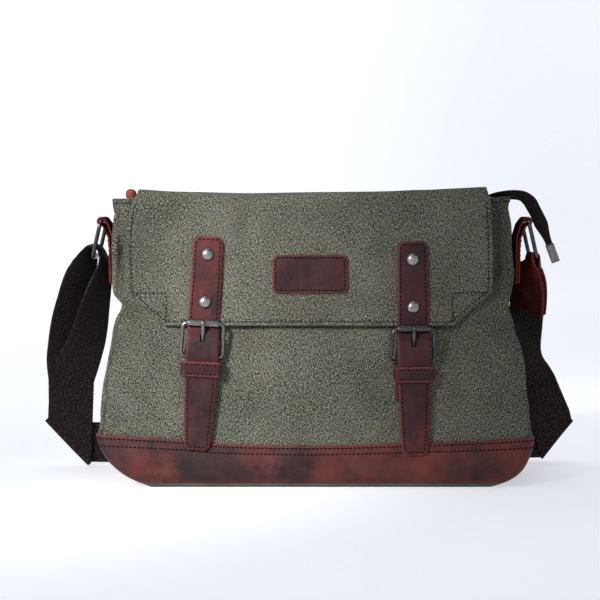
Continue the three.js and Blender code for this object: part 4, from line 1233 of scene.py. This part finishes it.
# ---- Shoulder strap of webbing ----
# Stations down a strip are (near edge, far edge, normal). A point of a leg is (x, y, z, turn):
# at a turn of 90 degrees the strip is edge on to the front.
LEFT_LEG = [
    (-222.2, 53, 84, 7), (-214.5, 43.5, 101, 20), (-205.4, 31, 121, 37), (-198, 18, 145, 50),
    (-191.5, 8, 168, 62), (-187, 2, 184, 76), (-185.6, 0, 194, 86), (-187.4, 0, 201.5, 90),
    (-191.5, 0, 205.6, 90), (-196.5, 0, 206, 90), (-200.6, 0.5, 202, 84), (-203.0, 2, 196, 68),
    (-205.2, 5, 188, 56), (-209.5, 9, 176, 50), (-214.5, 14, 160, 47), (-218.8, 20, 143, 42),
    (-221.9, 31.5, 119, 33), (-223.4, 44, 100, 19), (-223.7, 55.5, 84, 7),
]
RIGHT_LEG = [
    (209, 79.5, 77, 7), (200, 70.5, 92, 16), (192, 54, 107, 30), (190, 38, 125, 44),
    (190, 22, 143, 48), (190.4, 7, 168, 52), (191.4, 1, 184, 66), (192.5, 0, 190, 84),
]
LEFT_FOLD, RIGHT_FOLD = (-205.8, -1, 46.5), (214.4, 1, 52)  # x of the foot, side, angle
SPREAD_WIDTH = 42  # of the left leg where it lies flat near the floor
STRAP_FLOOR = 3.4
STRAP_TOP = STRAP_FLOOR + WEBBING_WIDTH
BAR_X, BAR_Y, BAR_PITCH, BAR_WIRE = -84, 60.6, 14, 1.4
MIDDLE_ENDS = (BAR_X - 31, BAR_X + 34)  # where the part that slides with the adjuster ends
# (x, y) along the floor behind the bag: outside the adjuster, and past its bars
THROUGH_START, THROUGH_END = ([(-172, 61.2), (-150, 61.6), (-122, 62.8)],
                              [(-40, 64.6), (30, 68.5), (100, 76), (150, 83), (182, 86.6)])
THROUGH_BARS = [(-15, 2.9), (-10, 1.2), (-4, -4), (0, -5.2), (4, -4), (10, 1.2), (15, 2.9)]
SEWN_START = [(-172, 63.8), (-150, 64.4), (-122, 65.5)]
SEWN_BARS = [(-16, 5.6), (-9, 2.4), (-2.6, -2.2), (0, -2.8), (2.4, -1.6), (2.8, 0.4), (1.4, 2.6),
             (-3, 3.9), (-10, 6), (-18, 8.1), (-34, 7.7)]


def leg_stations(points, side, count, width):
    smooth = spline(points, count)
    middle, turn = smooth[:, :3], np.radians(smooth[:, 3])
    along = unit(np.gradient(middle, axis=0))
    across = xyz(-side * np.cos(turn), np.sin(turn), 0)
    across = unit(across - along * (across * along).sum(1, keepdims=True))
    half = across * np.broadcast_to(width, (count,))[:, None] / 2
    return np.stack([middle - half, middle + half, np.cross(along, across)], 1)


def fold_stations(y, place, radius, width=WEBBING_WIDTH):
    """A mitred fold at floor level, where a leg turns to run behind the bag."""
    x, side, angle = place
    a = math.radians(angle)
    foot = np.array([x, y, STRAP_FLOOR])
    up = np.array([side * math.cos(2 * a), 0, math.sin(2 * a)])
    away = np.array([side * math.sin(a), 0, -math.cos(a)])
    back = np.array([0, side, 0])
    tip = foot + np.array([side * math.cos(a), 0, math.sin(a)]) * width / math.sin(a)
    stations = [(tip + up * lift, foot + up * lift, -back) for lift in (9, 4)]
    for turn in np.linspace(0, math.pi, 9):
        shift = away * radius * math.sin(turn) + np.array([0, radius * (1 - math.cos(turn)), 0])
        normal = side * away * math.sin(turn) - back * math.cos(turn)
        stations.append((tip + shift, foot + shift, normal))
    for share in (0.2, 0.45, 0.72, 1.0):
        run = np.array([-side * width / math.tan(a) * share, 2 * radius, 0])
        top = tip + run + np.array([0, 0, (WEBBING_WIDTH - width) * share])
        stations.append((top, foot + run * (0.15, 1, 1), back))
    return np.array(stations)


def run_stations(start, bars, end, count):
    plan = start + [(BAR_X + x, BAR_Y + y) for x, y in bars] + end
    x, y = spline(plan, count).T
    dx, dy = unit(np.stack([np.gradient(x), np.gradient(y)], 1)).T
    return np.stack([xyz(x, y, STRAP_TOP), xyz(x, y, STRAP_FLOOR), xyz(dy, -dx, 0)], 1)


def webbing(name, stations, body, bend=None, nodes=(), cup=0.6, step=2.0, seed=81,
            material=WEBBING, thickness=WEBBING_THICKNESS, columns=7, width=WEBBING_WIDTH,
            scallop=0.0):
    """A strip with evenly spaced rows across its stations, and a little life in the cloth."""
    run = lengths(stations[:, :2].mean(1))
    rows = np.linspace(0, run[-1], max(4, int(run[-1] / step)))
    near, far = (track(stations[:, k], run)(rows).T[:, None] for k in (0, 1))
    share = 0.5 + across_columns(0.5, 0.9 / WEBBING_WIDTH, columns)[:, None]
    odd = (np.arange(len(rows)) % 2)[:, None, None]
    bite = 1 - 2 * scallop / np.linalg.norm(far - near, axis=2, keepdims=True) * odd
    grid = (near + far) / 2 + (far - near) * (share - 0.5) * bite
    share = share[:, 0]
    ends = np.sqrt(np.sin(np.clip(rows / rows[-1], 0, 1) * math.pi))[:, None]
    shape = (cup * (0.5 - (2 * share - 1) ** 2) + 0.4 * soft_noise(grid, 30, seed)) * ends
    grid = grid + grid_normals(grid) * shape[..., None]
    distance = np.minimum(share, 1 - share) * width
    strip = sheet_mesh(name, grid, rounding(distance, thickness, min(0.9, thickness / 2)), material)
    finish_piece(strip, body, nodes, bend)


def split_at(stations, x):
    """Cuts a run where its middle passes a place along X, so that both parts share the cut."""
    cut = int(np.argmin(np.abs(stations[:, 0, 0] - x)))
    return stations[: cut + 1], stations[cut:]


spread = smoothstep(np.abs(np.linspace(-1, 1, 120)), 0.3, 0.9)
spread = WEBBING_WIDTH + (SPREAD_WIDTH - WEBBING_WIDTH) * spread
left_leg = leg_stations(LEFT_LEG, -1, 120, spread)
right_leg = leg_stations(RIGHT_LEG, 1, 50, WEBBING_WIDTH)
fold_inner = fold_stations(56, LEFT_FOLD, 3.9, SPREAD_WIDTH)
fold_outer = fold_stations(58.7, LEFT_FOLD, 1.2, SPREAD_WIDTH)
fold_right = fold_stations(84, RIGHT_FOLD, 1.3)
run_through = run_stations(THROUGH_START, THROUGH_BARS, THROUGH_END, 150)
run_left, run_middle = split_at(run_through, MIDDLE_ENDS[0])
run_middle, run_right = split_at(run_middle, MIDDLE_ENDS[1])
run_sewn = run_stations(SEWN_START, SEWN_BARS, [], 110)
sewn_left, sewn_middle = split_at(run_sewn[:44], MIDDLE_ENDS[0])
sewn_middle = np.concatenate([sewn_middle, run_sewn[44:]])
RIGHT_BEND = ((200, 20, 56), (200, 20, 186))
slide_left = ((-185, 60, 20), (MIDDLE_ENDS[0], 60, 20))
slide_right = ((100, 60, 20), (MIDDLE_ENDS[1], 60, 20))
SLIDING = ("bag", "adjuster")

webbing("webbing_left", np.concatenate([fold_inner[::-1], left_leg, fold_outer]), ("bag", "left_ring"),
        ((-200, 20, 62), (-200, 20, 188)), ("strap_webbing",), step=1.05, scallop=0.45)
webbing("webbing_right", np.concatenate([fold_right[::-1], right_leg]), ("bag", "right_ring"),
        RIGHT_BEND, step=1.05, scallop=0.45)
webbing("webbing_run_left", np.concatenate([fold_outer[-1:], run_left]), SLIDING,
        slide_left, cup=0)
webbing("webbing_run_middle", run_middle, "adjuster", cup=0, step=1.2)
webbing("webbing_run_right", np.concatenate([run_right, fold_right[-1:]]), SLIDING,
        slide_right, cup=0)
webbing("webbing_sewn_left", np.concatenate([fold_inner[-1:], sewn_left]), SLIDING,
        slide_left, cup=0)
webbing("webbing_sewn_middle", sewn_middle, "adjuster", cup=0, step=1.2)


def adjuster():
    rail = WEBBING_WIDTH / 2 + 0.4 + BAR_WIRE
    x, z = rounded_loop(BAR_PITCH, -rail, rail, 3.0, 96).T
    middle = STRAP_FLOOR + WEBBING_WIDTH / 2
    wire = tube("adjuster_loop", xyz(BAR_X + x, BAR_Y, middle + z), BAR_WIRE, GUNMETAL, closed=True,
                sides=12)
    bar_line = xyz(BAR_X, BAR_Y, middle + np.linspace(-rail, rail, 5))
    bar = tube("adjuster_bar", bar_line, BAR_WIRE, GUNMETAL, sides=12)
    finish_piece(join("adjuster_wire", [wire, bar]), "adjuster", ("strap_adjuster",))


def end_tab():
    """Leather folded over the right ring's bar and sewn to both sides of the webbing."""
    thickness, overhang, foot = 1.6, 0.7, 147
    picked = right_leg[right_leg[:, :2, 2].mean(1) > foot]
    faces = []
    for sign in (-1, 1):
        shift = picked[:, 2] * sign * (WEBBING_THICKNESS / 2 + 0.6 + thickness / 2)
        wide = unit(picked[:, 1] - picked[:, 0]) * overhang
        faces.append(np.stack([picked[:, 0] + shift - wide, picked[:, 1] + shift + wide], 1))
    half_width = WEBBING_WIDTH / 2 + overhang
    over = np.array(arc(*RING_FOOT, 2.1 + thickness / 2, 0.12, math.pi - 0.12, 11))
    over = np.stack([xyz(over[:, 0], y, over[:, 1]) for y in (-half_width, half_width)], 1)
    outer = 1 if picked[-1, 2, 0] > 0 else 0
    edges = np.concatenate([faces[outer], over, faces[1 - outer][::-1]])
    line = spline(edges.mean(1), 400)
    total = lengths(line)[-1]
    run_of = lengths(edges.mean(1))
    span_at = track(unit(edges[:, 1] - edges[:, 0]), run_of)

    def place(run, across):
        middle, span = track(line)(run), span_at(run / total * run_of[-1])
        middle, span = np.moveaxis(middle, 0, -1), np.moveaxis(span, 0, -1)
        return middle + unit(span) * across[..., None]

    tab = leather_strip("end_tab_leather", place, total, lambda r: half_width, thickness, LIT_TAB_LEATHER,
                        corner=3, inner=90, columns=9)
    finish_piece(tab, ("bag", "right_ring"), ("strap_end_tab",), RIGHT_BEND)
    inside = half_width - 2.8
    rows = []
    for low, high, end in ((3, total * 0.42, 3), (total * 0.58, total - 3, total - 3)):
        rows += [(np.linspace(low, high, 80), across) for across in (-inside, inside)]
        rows.append((end, np.linspace(-inside, inside, 40)))
    lines = [placed_line(place, run, across, thickness / 2) for run, across in rows]
    sew("end_tab_thread", lines, THREAD, 3.9, 2.8, 0.72, ("bag", "right_ring"), RIGHT_BEND)


adjuster()
end_tab()

# ---- Zip along the top ----
ZIP_Z = 236.3
CHAIN = (-157, 150)


def zip_tape_and_facing(name):
    low, high = corners(f"zip_facing_{name}")
    inner, outer = sorted((low[1], high[1]), key=abs)
    share = across_columns(1.0, 0.08, 9)
    y = (inner + outer) / 2 + (outer - inner) / 2 * share
    grid = flat_grid(np.linspace(low[0] + 1, high[0] - 1, 120), y)
    sag = 0.92 * half_wave(grid[..., 0] / 165) ** 2
    grid[..., 2] = ZIP_Z + 1.55 - sag + 0.3 * soft_noise(grid, 24, 91)
    thick = rounding((1 - np.abs(share)) * abs(outer - inner) / 2, 1.5, 0.9)
    facing_cloth = sheet_mesh(f"zip_facing_cloth_{name}", grid, thick, CANVAS)
    finish_piece(facing_cloth, "bag", (f"zip_facing_{name}",))
    low, high = corners(f"zip_tape_{name}")
    inner, outer = sorted((low[1], high[1]), key=abs)
    grid = flat_grid(np.linspace(low[0], high[0], 120), np.linspace(inner, outer, 6), ZIP_Z)
    tape = sheet_mesh(f"zip_tape_ribbon_{name}", grid, 0.8, RIBBON)
    finish_piece(tape, "bag", (f"zip_tape_{name}",))


def zip_teeth():
    verts, faces = [], []
    count = int((CHAIN[1] - CHAIN[0]) / 1.5)
    for k in range(count):
        x = CHAIN[0] + 1 + k * (CHAIN[1] - CHAIN[0] - 2) / count
        side = 1 if k % 2 else -1
        faces += rod_faces(3, 4, len(verts))
        for y, half_x, half_z in ((-0.8, 0.5, 0.6), (0.1, 0.62, 0.95), (2.1, 0.45, 0.8)):
            for sign_x, sign_z in ((-1, -1), (1, -1), (1, 1), (-1, 1)):
                verts.append((x + sign_x * half_x, y * side, ZIP_Z + sign_z * half_z))
    teeth = mesh_object("zip_teeth", verts, faces, GUNMETAL, smooth=False)
    finish_piece(teeth, "bag", ("zip_chain",))


def zip_pull():
    """A rolled leather bead that stands over the slider, on a thong through its bail."""
    joint = next(joint for joint in frame["joints"] if joint["name"] == "zip_pull_swing")
    pin = np.array(joint["pos_m"]) / MM
    rings = [(3.0, 3.0), (4.2, 4.2), (4.6, 7.2), (4.7, 9.6), (4.4, 11.6), (3.3, 13.2), (1.5, 14.0)]
    profile = [(0, 2.9)] + list(spline(rings, 30)) + [(0, 14.1)]
    bead = lathe("zip_pull_bead", profile, PULL_LEATHER, 32)
    moved_verts(bead, lambda v: v * (1, 0.92, 1) + pin + (-3.2, 0, 0) * smoothstep(v[:, 2:], 2, 8))
    loop = [(0, -1.2, 0.2), (0, -1.9, 2.4), (0, -1.0, 4.6), (0, 1.0, 4.6), (0, 1.9, 2.4), (0, 1.2, 0.2)]
    thong = tube("pull_thong", pin + spline(loop, 30), 0.75, LEATHER, sides=10, hint=(1, 0, 0))
    piece = join("zip_pull_leather", [bead, thong])
    finish_piece(piece, "zip_pull", ("zip_pull",))
    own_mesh(piece)


def zip_tail():
    line = [
        (130, 0, 238.2, 90), (138, 0, 240.5, 90), (148, 0, 247.6, 90), (156, 0, 249.8, 90),
        (168, 0, 250.3, 88), (180, 0, 250, 84), (187.5, -1, 246, 66), (193, -2, 237.5, 38),
        (199.4, -3, 224, 14), (204.4, -3.5, 212, 6), (207.6, -4, 203.5, 2),
    ]
    count = 80
    share = np.linspace(0, 1, count)
    near, far, normal = leg_stations(line, 1, count, 12 - 6 * smoothstep(share, 0.82, 0.96)).swapaxes(0, 1)
    roll = np.radians(-42) * smoothstep(share, 0.12, 0.3) * (1 - smoothstep(share, 0.5, 0.75))
    middle, half = (near + far) / 2, (far - near) / 2
    turned = half * np.cos(roll)[:, None] + normal * (np.sin(roll) * np.linalg.norm(half, axis=1))[:, None]
    stations = np.stack([middle - turned, middle + turned, normal], 1)
    webbing("zip_tail_ribbon", stations, "bag", nodes=("zip_tail",), cup=0.5, step=1.6,
            seed=93, material=RIBBON, thickness=1.1, columns=5, width=11.4)
    end, before = stations[-1, :2].mean(0), stations[-4, :2].mean(0)
    along, across = unit(end - before), unit(stations[-1, 1] - stations[-1, 0])
    rows = [(-4, 3.3, 1.0), (-3.6, 3.8, 1.55), (2, 3.8, 1.7), (3, 3.45, 1.5), (4, 3.8, 1.7),
            (12.4, 3.8, 1.6), (13, 3.4, 1.2)]
    verts = []
    for run, wide, thick in rows:
        for t in np.linspace(0, TAU, 24, endpoint=False):
            c, s = (math.copysign(abs(v) ** 0.45, v) for v in (math.cos(t), math.sin(t)))
            verts.append(end + along * run + across * wide * c + np.cross(along, across) * thick * s)
    clamp = mesh_object("zip_tail_crimp", verts, rod_faces(len(rows), 24), STEEL)
    finish_piece(clamp, "bag", ("zip_tail_clamp",))


zip_tape_and_facing("front")
zip_tape_and_facing("back")
zip_teeth()
zip_pull()
zip_tail()


# ---- Stage and light ----
def stage_sweep():
    """A round pale floor that curves up into a wall on every side."""
    radius, reach, height, turns = 900, 3900, 4200, 72
    line = [(300, 0), (1200, 0)]
    line += arc(reach - radius, radius, radius, -math.pi / 2, 0, 13)
    line += [(reach, height)]
    verts = [(0, 0, 0)]
    for r, z in line:
        verts += [(r * math.cos(a), r * math.sin(a), z) for a in np.arange(turns) * TAU / turns]
    faces = [(0, 1 + k, 1 + (k + 1) % turns) for k in range(turns)] + ring_faces(len(line), turns, 1)
    glowing_backdrop = Shader("glowing_backdrop", Roughness=0.9, Base_Color=(0.6, 0.61, 0.63, 1), Specular_IOR_Level=0.1,
                   Emission_Color=(0.925, 0.945, 1.0, 1))
    # the floor and wall glow, and the glow is painted brighter on the left and dimmer to the right and
    # toward the front, rising up the back wall: painted light falloff
    axes = glowing_backdrop.add("SeparateXYZ", 0, {0: glowing_backdrop.add("TexCoord", "Object")}).node.outputs
    to_right = glowing_backdrop.ramp(axes[0], -0.2, 0.8, 1.0, 0.76, interpolation_type="SMOOTHSTEP")
    to_front = glowing_backdrop.ramp(axes[1], -1.4, -0.3, 0.7, 1.0)
    on_wall = glowing_backdrop.ramp(axes[1], 0.2, 2.6, 0.54, 0.7)
    glowing_backdrop.set("Emission Strength", glowing_backdrop.times(glowing_backdrop.times(to_right, to_front), on_wall))
    glowing_backdrop.material.cycles.emission_sampling = "NONE"
    mesh_object("floor_sweep", verts, faces, glowing_backdrop.material)


def area_light(name, at, target, size, watts, color, spread=180):
    lamp = bpy.data.lights.new(name, "AREA")
    lamp.shape = "RECTANGLE"
    lamp.size, lamp.size_y = (edge * MM for edge in size)
    lamp.energy = watts
    lamp.color = color
    lamp.spread = math.radians(spread)
    light = bpy.data.objects.new(name, lamp)
    light.location = Vector(at) * MM
    light.rotation_euler = (Vector(target) - Vector(at)).to_track_quat("-Z", "Y").to_euler()
    bpy.context.scene.collection.objects.link(light)


stage_sweep()
area_light("key", (-640, -820, 620), (-95, -50, 150), (170, 420), 0.62, (1, 0.985, 0.96), 21)
area_light("overhead", (-250, 300, 1900), (0, 250, 0), (1500, 1500), 10.6, (0.97, 0.985, 1))
world = bpy.data.worlds.new("studio")
world.use_nodes = True
world.node_tree.nodes["Background"].inputs["Color"].default_value = (0.9, 0.94, 1, 1)
world.node_tree.nodes["Background"].inputs["Strength"].default_value = 0.12
bpy.context.scene.world = world
bpy.context.scene.view_settings.view_transform = "Standard"
